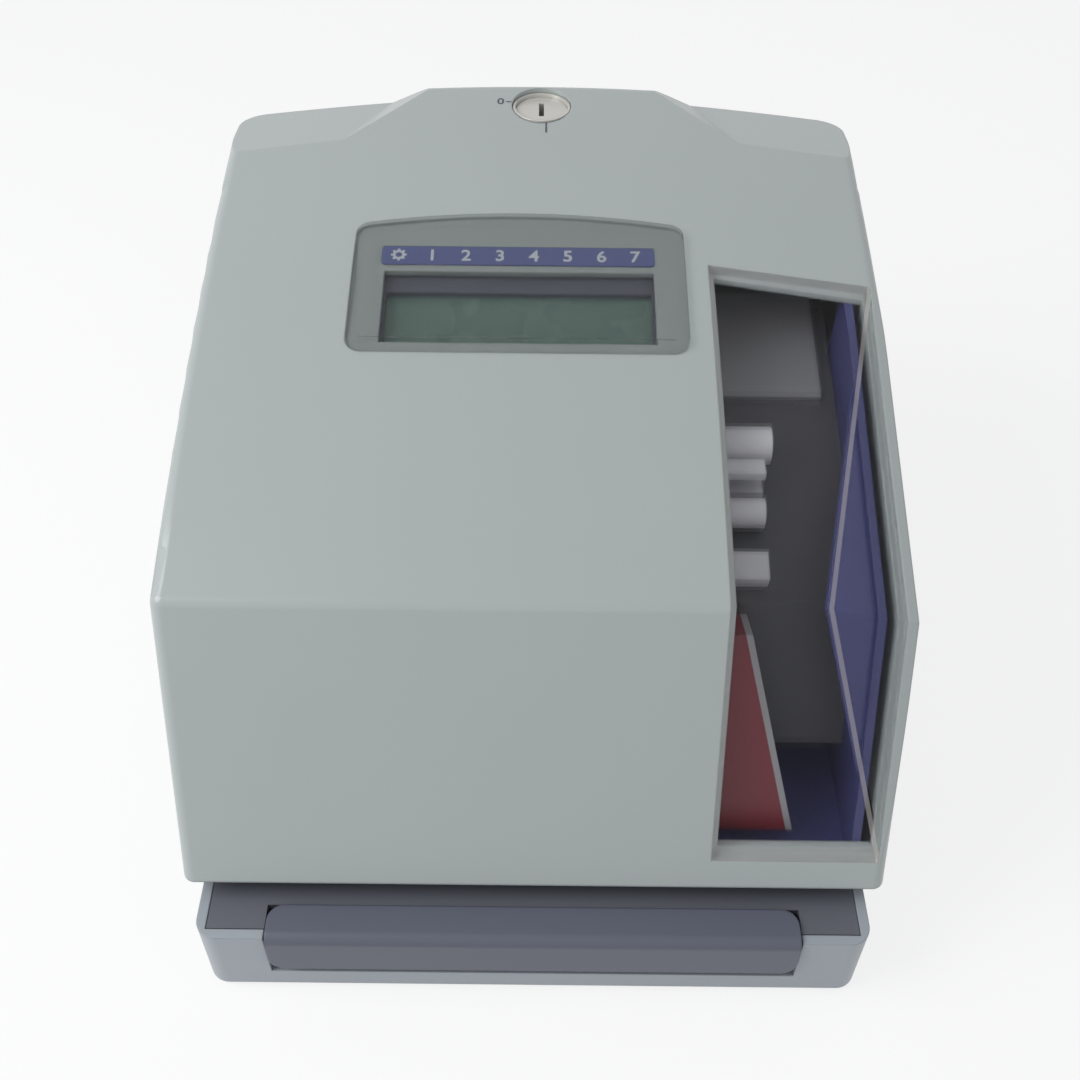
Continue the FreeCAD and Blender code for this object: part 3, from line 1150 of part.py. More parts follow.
def make_drive():
    y = ("-belt_back - belt_width / 2", "-belt_back + belt_width / 2")
    node(cut("drive_belt", racetrack("belt_outer", "pulley_radius + belt_thick", y),
             racetrack("belt_inner", "pulley_radius", y)), "drive_belt")
    front, rear = f"({y[0]} - rim_wall * 2)", f"({y[1]} + rim_wall * 2)"
    for label, x in (("drive_pulley", "motor_distance"), ("idler_pulley", "idler_distance")):
        drum = rod(label + "_drum", "y", (x, "belt_height"), (front, rear), "pulley_radius - fit_gap / 2")
        rims = [rod(f"{label}_rim_{i}", "y", (x, "belt_height"), span, "pulley_radius + rim_wall * 2")
                for i, span in enumerate(((front, f"{y[0]} - fit_gap"), (f"{y[1]} + fit_gap", rear)))]
        if label == "drive_pulley":
            shaft = rod("motor_shaft", "y", (x, "belt_height"),
                        ("-belt_back", "motor_length / 2 - frame_back"), "pin_radius")
            node(fuse(label, drum, shaft, *rims), label)
        else:
            hole = rod("idler_bore", "y", (x, "belt_height"), ("-belt_back - belt_width", "-frame_back"),
                       "pin_radius + spin_gap")
            node(cut(label, fuse("idler_drum", drum, *rims), hole), label)
    pin_end = f"({front} - fit_gap)"
    spot = ("idler_distance", "belt_height")
    pin = rod("idler_shank", "y", spot, (pin_end, "-frame_back"), "pin_radius")
    head = rod("idler_head", "y", spot, (f"{pin_end} - rim_wall", pin_end), "pin_radius * 2")
    node(fuse("idler_pin", pin, head), "idler_pin")
    spot = ("motor_distance", "belt_height")
    can = rod("motor_can", "y", spot, ("-frame_back", "motor_length - frame_back"), "motor_radius")
    boss = rod("motor_boss_ring", "y", spot, ("-frame_back - sheet_wall", "-frame_back"), "motor_boss")
    bore = rod("motor_bore", "y", spot,
               ("-frame_back - sheet_wall", "motor_length / 2 + bar_gap - frame_back"), "pin_radius + spin_gap")
    node(cut("drive_motor", fuse("motor_body", can, boss), bore), "drive_motor")


def face_frame(name):
    """A body whose own XY plane is the cover's front face, its own Y up the face."""
    made = new_body(name, ("0", "-cover_front", "rim_height"))
    bind(made, "Placement.Rotation.Angle", FACE_ANGLE)
    return made


def cassette_outline(gap):
    foot, rise = f"(cassette_foot + ({gap}))", f"(cassette_rise - ({gap}))"
    wide, narrow = f"(cassette_half + cassette_flare - ({gap}))", f"(cassette_half - ({gap}))"
    return [(f"-{wide}", foot), (wide, foot), (narrow, rise), (f"-{narrow}", rise)]


def make_ribbon():
    depth = "cassette_gap + cassette_thick"
    shell = face_frame("cassette_shell")
    pad(shell, sketch(shell, "cassette_face", "XY", [cassette_outline("0")], height=f"-({depth})"),
        "cassette_thick - lid_wall")
    hollow = sketch(shell, "cassette_hollow", "XY", [cassette_outline("cassette_wall")],
                    height="-cassette_gap - lid_wall")
    pocket(shell, hollow, "cassette_thick - lid_wall - cassette_wall")
    spool_pins = sketch(shell, "spool_pins", "XY", [
        ("circle", "-spool_side", "spool_rise", "pin_radius"),
        ("circle", "spool_side", "spool_rise", "pin_radius")],
        height=f"-({depth}) + cassette_wall")
    pad(shell, spool_pins, "cassette_thick - lid_wall - cassette_wall - bar_gap")
    arms = []
    for name, x in (("left_arm", ("ribbon_left + bar_gap", "ribbon_left + arm_width")),
                    ("right_arm", ("ribbon_right - arm_width", "ribbon_right - bar_gap"))):
        arms.append(block(name, x, ("-arm_front", "-print_line + strip_half"),
                          ("ribbon_height + ribbon_wall", "ribbon_height + arm_height")))
        arms.append(block(name + "_foot", x, ("-arm_front", "-print_line - strip_half - fit_gap * 2"),
                          ("rim_height + plate_wall", "ribbon_height + arm_height")))
    node(fuse("ribbon_cassette", shell, *arms), "ribbon_cassette")
    lid = face_frame("cassette_lid")
    lid_face = sketch(lid, "lid_face", "XY", [cassette_outline("0")], height="-cassette_gap - lid_wall")
    pad(lid, lid_face, "lid_wall")
    node(lid, "cassette_lid")
    for label, x in (("left_spool", "-spool_side"), ("right_spool", "spool_side")):
        spool = face_frame(label)
        base = f"-({depth}) + cassette_wall + bar_gap"
        bore = ("circle", x, "spool_rise", "pin_radius + spin_gap")
        flange = sketch(spool, label + "_flange", "XY", [
            ("circle", x, "spool_rise", "spool_radius"), bore], height=base)
        pad(spool, flange, "cassette_wall / 2")
        core = sketch(spool, label + "_core", "XY", [
            ("circle", x, "spool_rise", "spool_core"), bore], height=base)
        pad(spool, core, "cassette_thick - lid_wall - cassette_wall * 2")
        node(spool, label)
    band = block("ribbon", ("ribbon_left + bar_gap", "ribbon_right - bar_gap"),
                 ("-print_line - strip_half + fit_gap", "-print_line + strip_half - fit_gap"),
                 ("ribbon_height", "ribbon_height + ribbon_wall"))
    node(band, "ribbon")
    edge = face_frame("ribbon_guide")
    slant = [
        ("cassette_half + cassette_flare", "cassette_foot"),
        ("cassette_half + cassette_flare + guide_strip", "cassette_foot"),
        ("cassette_half + guide_strip", "cassette_rise"),
        ("cassette_half", "cassette_rise"),
    ]
    pad(edge, sketch(edge, "ribbon_guide_face", "XY", [slant], height=f"-({depth})"), "cassette_thick")
    node(edge, "ribbon_guide")


def on_shroud(name, x, y, height):
    """A flat pad that lies on the shroud's arched top."""
    across, depth = f"(({x[0]}) + ({x[1]})) / 2", f"(({y[0]}) + ({y[1]})) / 2"
    tilt = top_slope(depth)
    made = new_body(name, (across, f"{depth} + shroud_gap * sin({tilt})",
                           f"{top_height(depth)} - shroud_gap * cos({tilt}) + fit_gap / 2"), tilt)
    half_x, half_y = f"(({x[1]}) - ({x[0]})) / 2", f"(({y[1]}) - ({y[0]})) / 2"
    pad(made, sketch(made, name + "_plan", "XY", [rectangle((f"-{half_x}", half_x), (f"-{half_y}", half_y))]),
        height)
    return made


def make_shroud():
    shroud = new_body("mechanism_shroud")
    outer = case_profile("shroud_gap", "rim_height + plate_wall")
    outside = sketch(shroud, "shroud_outer", "YZ", [outer], height="right_plate")
    pad(shroud, outside, "shroud_right - right_plate")
    hollow = case_profile("shroud_gap + shroud_wall", "rim_height")
    pocket(shroud, sketch(shroud, "shroud_hollow", "YZ", [hollow], height="right_plate"),
           "shroud_right - right_plate - shroud_wall", back=True)
    for name, y, z in (
        ("rear", ("shroud_end", SPAN), ("0", SPAN)),
        ("front", (f"-{SPAN}", "-cheek_front"), ("0", "shroud_foot")),
        ("low_rear", ("-throat_end", SPAN), ("0", "shroud_step")),
    ):
        away = sketch(shroud, "shroud_" + name, "YZ", [rectangle(y, z)])
        pocket(shroud, away, f"{SPAN} * 2", both=True)
    node(shroud, "mechanism_shroud")
    panel = on_shroud("grey_panel", ("window_left", "panel_right"), ("panel_front", "panel_rear"), "sheet_wall")
    node(panel, "grey_panel")
    pin_span = ("right_plate - sheet_wall * 4", "knob_left")
    for label, spot, end, radius in (
        ("feed_knob", ("-knob_back", "knob_height"), "knob_right", "knob_radius"),
        ("guide_roller", ("-roller_back", "roller_height"), "roller_right", "roller_radius"),
    ):
        drum = rod(label + "_drum", "x", spot, ("knob_left", end), radius)
        node(fuse(label, drum, rod(label + "_pin", "x", spot, pin_span, "pin_radius")), label)
    hook = new_body("latch_hook")
    low, high = "hook_foot", "hook_foot + hook_height"
    wall, end = "plate_wall", "(knob_right - plate_wall)"
    curl = [
        ("right_plate", low), (end, low), (end, f"{low} + {wall}"),
        (f"right_plate + {wall} * 3", f"{low} + {wall}"), (f"right_plate + {wall} * 3", f"{high} - {wall}"),
        (end, f"{high} - {wall}"), (end, high), ("right_plate", high),
    ]
    side = sketch(hook, "hook_side", "XZ", [curl], height="-hook_back - hook_depth / 2")
    pad(hook, side, "hook_depth", back=True)
    node(hook, "latch_hook")
    stay = on_shroud("ribbon_stay", ("right_plate", "knob_right - plate_wall"),
                     ("-stay_back - stay_half", "-stay_back + stay_half"), "plate_wall * 2")
    node(stay, "ribbon_stay")


CHIPS = 3
BUTTONS = 3


def make_electronics():
    board = block("main_card", ("-board_half", "board_half"), ("board_front", "board_rear"),
                  ("board_height", "board_height + card_thick"))
    node(board, "main_board")
    top = "board_height + card_thick"
    chips = []
    for i in range(CHIPS):
        left = f"(chip_left + {i} * chip_pitch)"
        chips.append(block(f"chip_{i}", (left, f"{left} + chip_width"),
                           ("chip_front", "chip_front + chip_depth"), (top, f"{top} + chip_height")))
    node(group("board_chips", *chips), "board_chips")
    node(block("power_block", ("power_left", "board_half - board_rim * 2"),
               ("chip_front", "chip_front + power_depth"), (top, f"{top} + power_height")), "power_block")
    node(rod("backup_battery", "z", ("battery_side", "battery_back"), (top, f"{top} + battery_height"),
             "battery_radius"), "backup_battery")
    jack_box = block("jack_box", ("-inlet_side - inlet_radius * 1.5", "-inlet_side + inlet_radius * 1.5"),
                     ("board_rear - board_rim * 2", "inlet_rear"),
                     (top, "inlet_height + inlet_radius"))
    spot, deep = ("-inlet_side", "inlet_height"), "inlet_rear - inlet_radius * 2"
    jack_nose = rod("jack_nose", "y", spot, ("inlet_rear", "inlet_rear + tray_wall"), "inlet_radius - fit_gap")
    jack_hole = rod("jack_hole", "y", spot, (deep, "inlet_rear + tray_wall"), "inlet_bore")
    jack_pin = rod("jack_pin", "y", spot, (deep, "inlet_rear + tray_wall / 2"), "inlet_pin")
    jack_shell = cut("jack_shell", fuse("jack_body", jack_box, jack_nose), jack_hole)
    node(fuse("power_inlet", jack_shell, jack_pin), "power_inlet")
    shelf = new_body("button_shelf")
    reach = sketch(shelf, "shelf_side", "YZ", [[
        ("-frame_back", "left_top - bracket_drop"), ("sheet_wall - frame_back", "left_top - bracket_drop"),
        ("sheet_wall - frame_back", "shelf_height - sheet_wall"),
        ("shelf_depth - frame_back", "shelf_height - sheet_wall"),
        ("shelf_depth - frame_back", "shelf_height"), ("-frame_back", "shelf_height"),
    ]], height="-left_plate")
    pad(shelf, reach, "shelf_width")
    node(shelf, "button_shelf")
    card_top = "shelf_height + card_thick"
    x = "(-left_plate + shelf_width / 2)"
    card = block("button_board", (f"{x} - button_half - board_rim", f"{x} + button_half + board_rim"),
                 ("sheet_wall - frame_back", "shelf_depth - frame_back"), ("shelf_height", card_top))
    node(card, "button_board")
    bases = []
    for i in range(BUTTONS):
        y = f"(button_first + {i} * button_pitch - frame_back)"
        body_box = block(f"button_base_{i}", (f"{x} - button_half", f"{x} + button_half"),
                         (f"{y} - button_half", f"{y} + button_half"), (card_top, f"{card_top} + button_base"))
        well_floor = f"{card_top} + button_base / 4"
        well = rod(f"button_well_{i}", "z", (x, y), (well_floor, f"{card_top} + button_base"),
                   "button_radius + spin_gap")
        bases.append(cut(f"button_case_{i}", body_box, well))
        cap = rod(f"button_stem_{i}", "z", (x, y), (f"{well_floor} + button_travel + fit_gap",
                  f"{card_top} + button_base + button_proud"), "button_radius")
        node(cap, f"set_button_{i + 1}")
    node(group("button_cases", *bases), "button_cases")


def make_stop():
    spot = ("0", "-stop_back - stop_thick / 2")
    under = "(plate_top - plate_wall * 2)"
    stop = block("stop_fence", ("-stop_half", "stop_half"), ("-stop_back - stop_thick", "-stop_back"),
                 ("plate_top + fit_gap / 2", "rim_height - fit_gap"))
    tongue = block("stop_tongue", ("-tongue_half", "tongue_half"),
                   ("-stop_back - stop_thick", "-stop_back + tongue_length - fit_gap"),
                   (under, "plate_top + plate_wall"))
    hole = rod("stop_hole", "z", spot, (under, "plate_top"), "screw_radius")
    node(cut("paper_stop", fuse("stop_body", stop, tongue), hole), "paper_stop")
    shank = rod("stop_shank", "z", spot, (under, "plate_top"), "screw_radius")
    head = rod("stop_head", "z", spot, (f"{under} - stop_head", under), "tongue_half * 1.5")
    node(fuse("stop_screw", shank, head), "stop_screw")


def make_strike():
    post = new_body("lock_strike")
    front, back = "strike_back - sheet_wall", "strike_back"
    under = f"({CAM_TOP} + fit_gap)"
    side = sketch(post, "strike_side", "YZ", [[
        (front, "foot_height + tray_wall"), (back, "foot_height + tray_wall"), (back, under),
        (f"{front} + strike_lip", under), (f"{front} + strike_lip", f"{under} + sheet_wall"),
        (front, f"{under} + sheet_wall"),
    ]])
    pad(post, side, "strike_width", both=True)
    node(post, "lock_strike")


for make in (make_base_tray, make_feet, make_plate_and_bar, make_chassis, make_carriage, make_drive,
             make_ribbon, make_shroud, make_electronics, make_stop, make_strike, make_lock, make_display,
             make_top_cover):
    make()
doc.recompute()

problems = []
for thing in doc.Objects:
    if "Invalid" in thing.State or "Error" in thing.State:
        problems.append(f"{thing.Name}: {thing.State}")
for thing in NODES:
    if thing.Shape.isNull() or not thing.Shape.isValid() or not thing.Shape.Solids:
        problems.append(f"{thing.Label}: bad shape")
if problems:
    raise RuntimeError("; ".join(problems))

os.makedirs("parts", exist_ok=True)
for thing in NODES:
    thing.Shape.exportStep(f"parts/{thing.Label}.step")
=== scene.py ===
# %% [markdown]
# # A date and time stamp machine
# The machine stamps the date and time on a card that is pushed into the throat at its front. Its grey cover
# lifts off when the lock at the rear is turned, and a clear moulded window at the right shows the ribbon.
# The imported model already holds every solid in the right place, so this lesson lights it, finishes each
# surface, and adds the printed marks and small details that are too fine for solids.

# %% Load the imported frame
import bpy
import math
import numpy as np
from mathutils import Matrix, Vector


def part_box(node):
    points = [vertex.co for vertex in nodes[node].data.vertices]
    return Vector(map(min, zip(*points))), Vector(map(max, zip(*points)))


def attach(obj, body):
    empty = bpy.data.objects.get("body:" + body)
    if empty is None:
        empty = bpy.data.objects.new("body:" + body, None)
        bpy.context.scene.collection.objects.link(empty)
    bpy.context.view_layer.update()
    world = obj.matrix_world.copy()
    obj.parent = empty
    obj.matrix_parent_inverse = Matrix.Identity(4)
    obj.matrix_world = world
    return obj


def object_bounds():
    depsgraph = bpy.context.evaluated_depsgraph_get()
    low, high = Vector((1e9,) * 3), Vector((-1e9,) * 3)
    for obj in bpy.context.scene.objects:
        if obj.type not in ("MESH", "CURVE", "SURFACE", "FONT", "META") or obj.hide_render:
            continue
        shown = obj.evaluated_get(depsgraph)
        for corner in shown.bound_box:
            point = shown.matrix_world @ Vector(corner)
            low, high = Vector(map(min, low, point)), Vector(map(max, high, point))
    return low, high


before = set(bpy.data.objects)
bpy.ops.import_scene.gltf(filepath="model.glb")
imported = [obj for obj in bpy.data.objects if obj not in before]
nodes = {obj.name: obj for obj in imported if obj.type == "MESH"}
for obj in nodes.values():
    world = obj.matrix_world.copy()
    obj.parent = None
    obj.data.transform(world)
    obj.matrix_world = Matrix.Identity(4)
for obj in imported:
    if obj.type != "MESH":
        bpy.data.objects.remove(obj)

# One millimetre in metres
MM = 0.001
cad_low, cad_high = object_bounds()
print("pieces in the frame:", len(nodes))

# %% [markdown]
# ## The camera
# The photograph looks down at the machine from the front, 46 degrees below the horizon. The width of the
# cover at the front and at the rear gives the distance, because near things look larger. The picture is
# turned by about half a degree, so the camera is rolled the other way.

# %% The camera
CAMERA_PLACE = Vector((0.0, -0.2425, 0.306))
LOOK_DOWN = math.radians(46.0)
ROLL = math.radians(0.6)
# The picture's width, the focal length and the sideways shift of the centre, in pixels
PICTURE = 1080.0
FOCAL_PIXELS = 1312.0
CENTRE_OFFSET = 3.0
# The sensor's width in mm, and the nearest distance that is drawn, in metres
SENSOR = 36.0
NEAREST = 0.01


def camera_turn(down, roll):
    """Right, up and backward axes of a camera that looks down by an angle and is rolled about its view."""
    right = Vector((1, 0, 0))
    up = Vector((0, math.sin(down), math.cos(down)))
    back = right.cross(up)
    turned_right = right * math.cos(roll) + up * math.sin(roll)
    turned_up = up * math.cos(roll) - right * math.sin(roll)
    return Matrix((turned_right, turned_up, back)).transposed()


camera_data = bpy.data.cameras.new("photo_camera")
camera_data.sensor_width = SENSOR
camera_data.lens = FOCAL_PIXELS / PICTURE * SENSOR
camera_data.shift_x = CENTRE_OFFSET / PICTURE
camera_data.clip_start = NEAREST
camera = bpy.data.objects.new("photo_camera", camera_data)
bpy.context.collection.objects.link(camera)
camera.matrix_world = Matrix.Translation(CAMERA_PLACE) @ camera_turn(LOOK_DOWN, ROLL).to_4x4()
bpy.context.scene.camera = camera
print("lens:", round(camera_data.lens, 1), "mm")

# %% [markdown]
# ## Node helpers
# Every finish below is a small network of shader nodes, so a few helpers keep the code short. They add a
# node with its settings, join a socket or set a constant, and do one step of arithmetic or mixing.

# %% Node helpers
# Where a colour Mix node keeps its share, its two colours and its result
MIX_SHARE = 0
MIX_FIRST = 6
MIX_SECOND = 7
MIX_RESULT = 2


def add_node(tree, kind, **values):
    """A node of a kind in a tree, with its inputs or attributes set by name."""
    made = tree.nodes.new(kind)
    for name, value in values.items():
        socket = made.inputs.get(name.replace("_", " "))
        if socket is not None:
            socket.default_value = value
        else:
            setattr(made, name, value)
    return made


def set_inputs(node, values):
    """Sets inputs of a node to constants, by name."""
    for name, value in values.items():
        node.inputs[name].default_value = value


def plug(tree, value, target):
    """Joins an output socket to a target socket, or sets the target to a constant."""
    if isinstance(value, bpy.types.NodeSocket):
        tree.links.new(value, target)
    else:
        target.default_value = value


def math_step(tree, operation, *values):
    """The result of one Math node, whose inputs are sockets or constants in order."""
    made = add_node(tree, "ShaderNodeMath", operation=operation)
    for value, target in zip(values, made.inputs):
        plug(tree, value, target)
    return made.outputs[0]


def vector_step(tree, operation, *values, result="Vector"):
    """The result of one Vector Math node, whose inputs are sockets or constants in order."""
    made = add_node(tree, "ShaderNodeVectorMath", operation=operation)
    for value, target in zip(values, made.inputs):
        plug(tree, value, target)
    return made.outputs[result]


def scaled(tree, colour, factor):
    """colour * factor."""
    made = add_node(tree, "ShaderNodeVectorMath", operation="SCALE")
    plug(tree, colour, made.inputs[0])
    plug(tree, factor, made.inputs["Scale"])
    return made.outputs["Vector"]


def mixed(tree, share, first, second):
    """first * (1 - share) + second * share, for two colours."""
    made = add_node(tree, "ShaderNodeMix", data_type="RGBA")
    for index, value in ((MIX_SHARE, share), (MIX_FIRST, first), (MIX_SECOND, second)):
        plug(tree, value, made.inputs[index])
    return made.outputs[MIX_RESULT]


def greatest(tree, *masks):
    """The greatest of several masks."""
    total = masks[0]
    for mask in masks[1:]:
        total = math_step(tree, "MAXIMUM", total, mask)
    return total


def noise(tree, place, scale, detail, roughness):
    """The value of a Noise node at a place."""
    made = add_node(tree, "ShaderNodeTexNoise", Detail=detail, Roughness=roughness)
    plug(tree, place, made.inputs["Vector"])
    plug(tree, scale, made.inputs["Scale"])
    return made.outputs["Fac"]


def new_group(name, inputs, outputs):
    """An empty shader node group with float, colour or vector sockets, and its two end nodes."""
    group = bpy.data.node_groups.new(name, "ShaderNodeTree")
    kinds = {"value": "NodeSocketFloat", "colour": "NodeSocketColor", "vector": "NodeSocketVector"}
    for label, kind, start in inputs:
        socket = group.interface.new_socket(name=label, in_out="INPUT", socket_type=kinds[kind])
        socket.default_value = start
    for label, kind in outputs:
        group.interface.new_socket(name=label, in_out="OUTPUT", socket_type=kinds[kind])
    return group, group.nodes.new("NodeGroupInput"), group.nodes.new("NodeGroupOutput")


def new_material(name):
    """A new material with its node tree and its Principled shader."""
    made = bpy.data.materials.new(name)
    made.use_nodes = True
    return made, made.node_tree, made.node_tree.nodes["Principled BSDF"]


steps = (math_step, vector_step, scaled, mixed, greatest, noise)
print("node steps:", ", ".join(step.__name__ for step in steps))

# %% [markdown]
# ## Grain and tone
# A moulded case isn't perfectly even. It has a fine spark-eroded grain that breaks up the gloss, and very
# faint larger clouds where the melt flowed. One node group makes both from Object coordinates: fine noise
# becomes a height for a Bump node, and large soft noise becomes a small change of tone. A Bevel node rounds
# the sharp edges of a solid in the light, as a mould does.

# %% The grain group
# Grain and cloud sizes are in mm, and a noise scale counts the waves in a metre
MM_IN_METRE = 1000.0
# The detail and roughness of the fine noise and of the clouds
FINE_NOISE = (2.0, 0.6)
CLOUD_NOISE = (3.0, 0.5)


def make_grain_group():
    """Colour * (1 + tone * (cloud - 0.5)), roughness + change * cloud, and the fine noise as a height."""
    group, entry, leave = new_group(
        "moulded_grain",
        [("Colour", "colour", (0.5, 0.5, 0.5, 1)), ("Tone", "value", 0.03), ("Grain Size", "value", 0.4),
         ("Cloud Size", "value", 30.0), ("Roughness", "value", 0.4), ("Rough Change", "value", 0.05)],
        [("Colour", "colour"), ("Roughness", "value"), ("Height", "value")],
    )
    given = entry.outputs
    place = add_node(group, "ShaderNodeTexCoord").outputs["Object"]
    fine_scale = math_step(group, "DIVIDE", MM_IN_METRE, given["Grain Size"])
    cloud_scale = math_step(group, "DIVIDE", MM_IN_METRE, given["Cloud Size"])
    fine = noise(group, place, fine_scale, *FINE_NOISE)
    cloud = noise(group, place, cloud_scale, *CLOUD_NOISE)
    swing = math_step(group, "MULTIPLY_ADD", cloud, given["Tone"], 1.0)
    centred = math_step(group, "MULTIPLY_ADD", given["Tone"], -0.5, swing)
    rough = math_step(group, "MULTIPLY_ADD", cloud, given["Rough Change"], given["Roughness"])
    plug(group, scaled(group, given["Colour"], centred), leave.inputs["Colour"])
    plug(group, rough, leave.inputs["Roughness"])
    plug(group, fine, leave.inputs["Height"])
    return group


GRAIN = make_grain_group()
print("group:", GRAIN.name, "nodes:", len(GRAIN.nodes))

# %% Moulded surfaces
# The sRGB curve: a straight foot up to a limit, and a power above it
SRGB_LIMIT = 0.04045
SRGB_FOOT = 12.92
SRGB_OFFSET = 0.055
SRGB_POWER = 2.4
# How deep the grain is for its size, how rough a clear coat is, and how many rays a soft edge takes
GRAIN_DEPTH = 0.2
COAT_ROUGHNESS = 0.15
EDGE_RAYS = 6


def linear(red, green, blue):
    """A screen colour, 0 to 255, in the linear numbers that shaders use.

    linear = level / foot up to the limit, and ((level + offset) / (1 + offset)) ** power above it.
    """
    levels = np.array([red, green, blue]) / 255
    curved = ((levels + SRGB_OFFSET) / (1 + SRGB_OFFSET)) ** SRGB_POWER
    return (*np.where(levels <= SRGB_LIMIT, levels / SRGB_FOOT, curved).tolist(), 1.0)


def soft_edge(tree, edge):
    """A normal that rounds the sharp edges over edge mm."""
    return add_node(tree, "ShaderNodeBevel", samples=EDGE_RAYS, Radius=edge * MM).outputs["Normal"]


def grained(tree, colour, tone, grain, cloud, roughness, rough_change):
    """The outputs of the grain group, with its settings."""
    made = add_node(tree, "ShaderNodeGroup", node_tree=GRAIN)
    set_inputs(made, {"Colour": colour, "Tone": tone, "Grain Size": grain, "Cloud Size": cloud,
                      "Roughness": roughness, "Rough Change": rough_change})
    return made.outputs


def plastic(name, colour, roughness=0.4, tone=0.03, grain=0.4, depth=0.1, cloud=30.0, rough_change=0.05,
            metallic=0.0, coat=0.0, edge=0.0):
    """A moulded or coated surface: grain, bump and a Principled shader, its edges softened by edge mm."""
    made, tree, shader = new_material(name)
    surface = grained(tree, colour, tone, grain, cloud, roughness, rough_change)
    bump = add_node(tree, "ShaderNodeBump", Strength=depth, Distance=grain * MM * GRAIN_DEPTH)
    plug(tree, surface["Height"], bump.inputs["Height"])
    if edge:
        plug(tree, soft_edge(tree, edge), bump.inputs["Normal"])
    plug(tree, surface["Colour"], shader.inputs["Base Color"])
    plug(tree, surface["Roughness"], shader.inputs["Roughness"])
    plug(tree, bump.outputs["Normal"], shader.inputs["Normal"])
    set_inputs(shader, {"Metallic": metallic, "Coat Weight": coat, "Coat Roughness": COAT_ROUGHNESS})
    return made


def wear(material, *names):
    """Gives the named nodes of the frame a material."""
    for name in names:
        slots = nodes[name].data.materials
        slots.clear()
        slots.append(material)
    print(material.name, "on", ", ".join(names))


print("half grey in linear numbers:", round(linear(128, 128, 128)[0], 3))

# %% [markdown]
# ## Brushed metal
# Rolled plate and ground shafts have fine scratches that run one way. The noise is stretched along one
# axis, so it turns into long streaks that change the tone, the roughness and the height a little.

# %% The streak group
# How much a streak adds to the roughness and to the tone, and the tone where there is none
STREAK_SHARE = 0.2
STREAK_LOW = 0.9
# The detail and roughness of the streaks, and their height
STREAK_NOISE = (4.0, 0.7)
STREAK_DEPTH = 0.05 * MM
# Waves in a metre along x, y and z, for streaks that run along x
ALONG_X = (60, 900, 900)


def make_streak_group():
    """Colour * (low + share * streak), roughness + share * streak, and the streak as a height."""
    group, entry, leave = new_group(
        "metal_streaks",
        [("Colour", "colour", (0.6, 0.6, 0.6, 1)), ("Roughness", "value", 0.35),
         ("Stretch", "vector", ALONG_X)],
        [("Colour", "colour"), ("Roughness", "value"), ("Height", "value")],
    )
    given = entry.outputs
    place = add_node(group, "ShaderNodeTexCoord").outputs["Object"]
    stretched = vector_step(group, "MULTIPLY", place, given["Stretch"])
    streaks = noise(group, stretched, 1.0, *STREAK_NOISE)
    rough = math_step(group, "MULTIPLY_ADD", streaks, STREAK_SHARE, given["Roughness"])
    shade = math_step(group, "MULTIPLY_ADD", streaks, STREAK_SHARE, STREAK_LOW)
    plug(group, scaled(group, given["Colour"], shade), leave.inputs["Colour"])
    plug(group, rough, leave.inputs["Roughness"])
    plug(group, streaks, leave.inputs["Height"])
    return group


STREAKS = make_streak_group()


def metal(name, colour, roughness=0.3, stretch=ALONG_X, depth=0.05):
    """A metal surface with streaks along its rolling or grinding direction."""
    made, tree, shader = new_material(name)
    streaked = add_node(tree, "ShaderNodeGroup", node_tree=STREAKS)
    set_inputs(streaked, {"Colour": colour, "Roughness": roughness, "Stretch": stretch})
    bump = add_node(tree, "ShaderNodeBump", Strength=depth, Distance=STREAK_DEPTH)
    plug(tree, streaked.outputs["Height"], bump.inputs["Height"])
    plug(tree, streaked.outputs["Colour"], shader.inputs["Base Color"])
    plug(tree, streaked.outputs["Roughness"], shader.inputs["Roughness"])
    plug(tree, bump.outputs["Normal"], shader.inputs["Normal"])
    set_inputs(shader, {"Metallic": 1.0})
    return made


print("group:", STREAKS.name, "nodes:", len(STREAKS.nodes))

# %% [markdown]
# ## The grey case
# The cover is light grey ABS with a slight green cast, semi-gloss. The tray under it is a little bluer and
# darker, and the throat plate and the print bar are a dark blue-grey.

# %% Case finishes
wear(plastic("cover_abs", linear(170, 177, 175), roughness=0.32, grain=0.5, coat=0.25, edge=0.7),
     "top_cover")
wear(plastic("tray_abs", linear(158, 165, 171), roughness=0.36, grain=0.5, edge=0.5), "base_tray")
wear(plastic("throat_satin", linear(92, 95, 103), roughness=0.45, tone=0.06, grain=0.6, depth=0.2),
     "throat_plate", "paper_stop")
wear(plastic("bar_satin", linear(88, 92, 106), roughness=0.38, tone=0.05, grain=0.5, depth=0.15, edge=0.6),
     "print_bar")
wear(plastic("foot_rubber", linear(35, 35, 36), roughness=0.8, grain=0.8, depth=0.4),
     "rubber_feet", "platen_strip")

# %% [markdown]
# ## What shows through the window
# Behind the clear window are a charcoal shroud with a lighter panel, white mouldings that hold the ribbon
# knob and roller, the red end of the ribbon cassette with a grey guide beside it, and a navy paper guide.

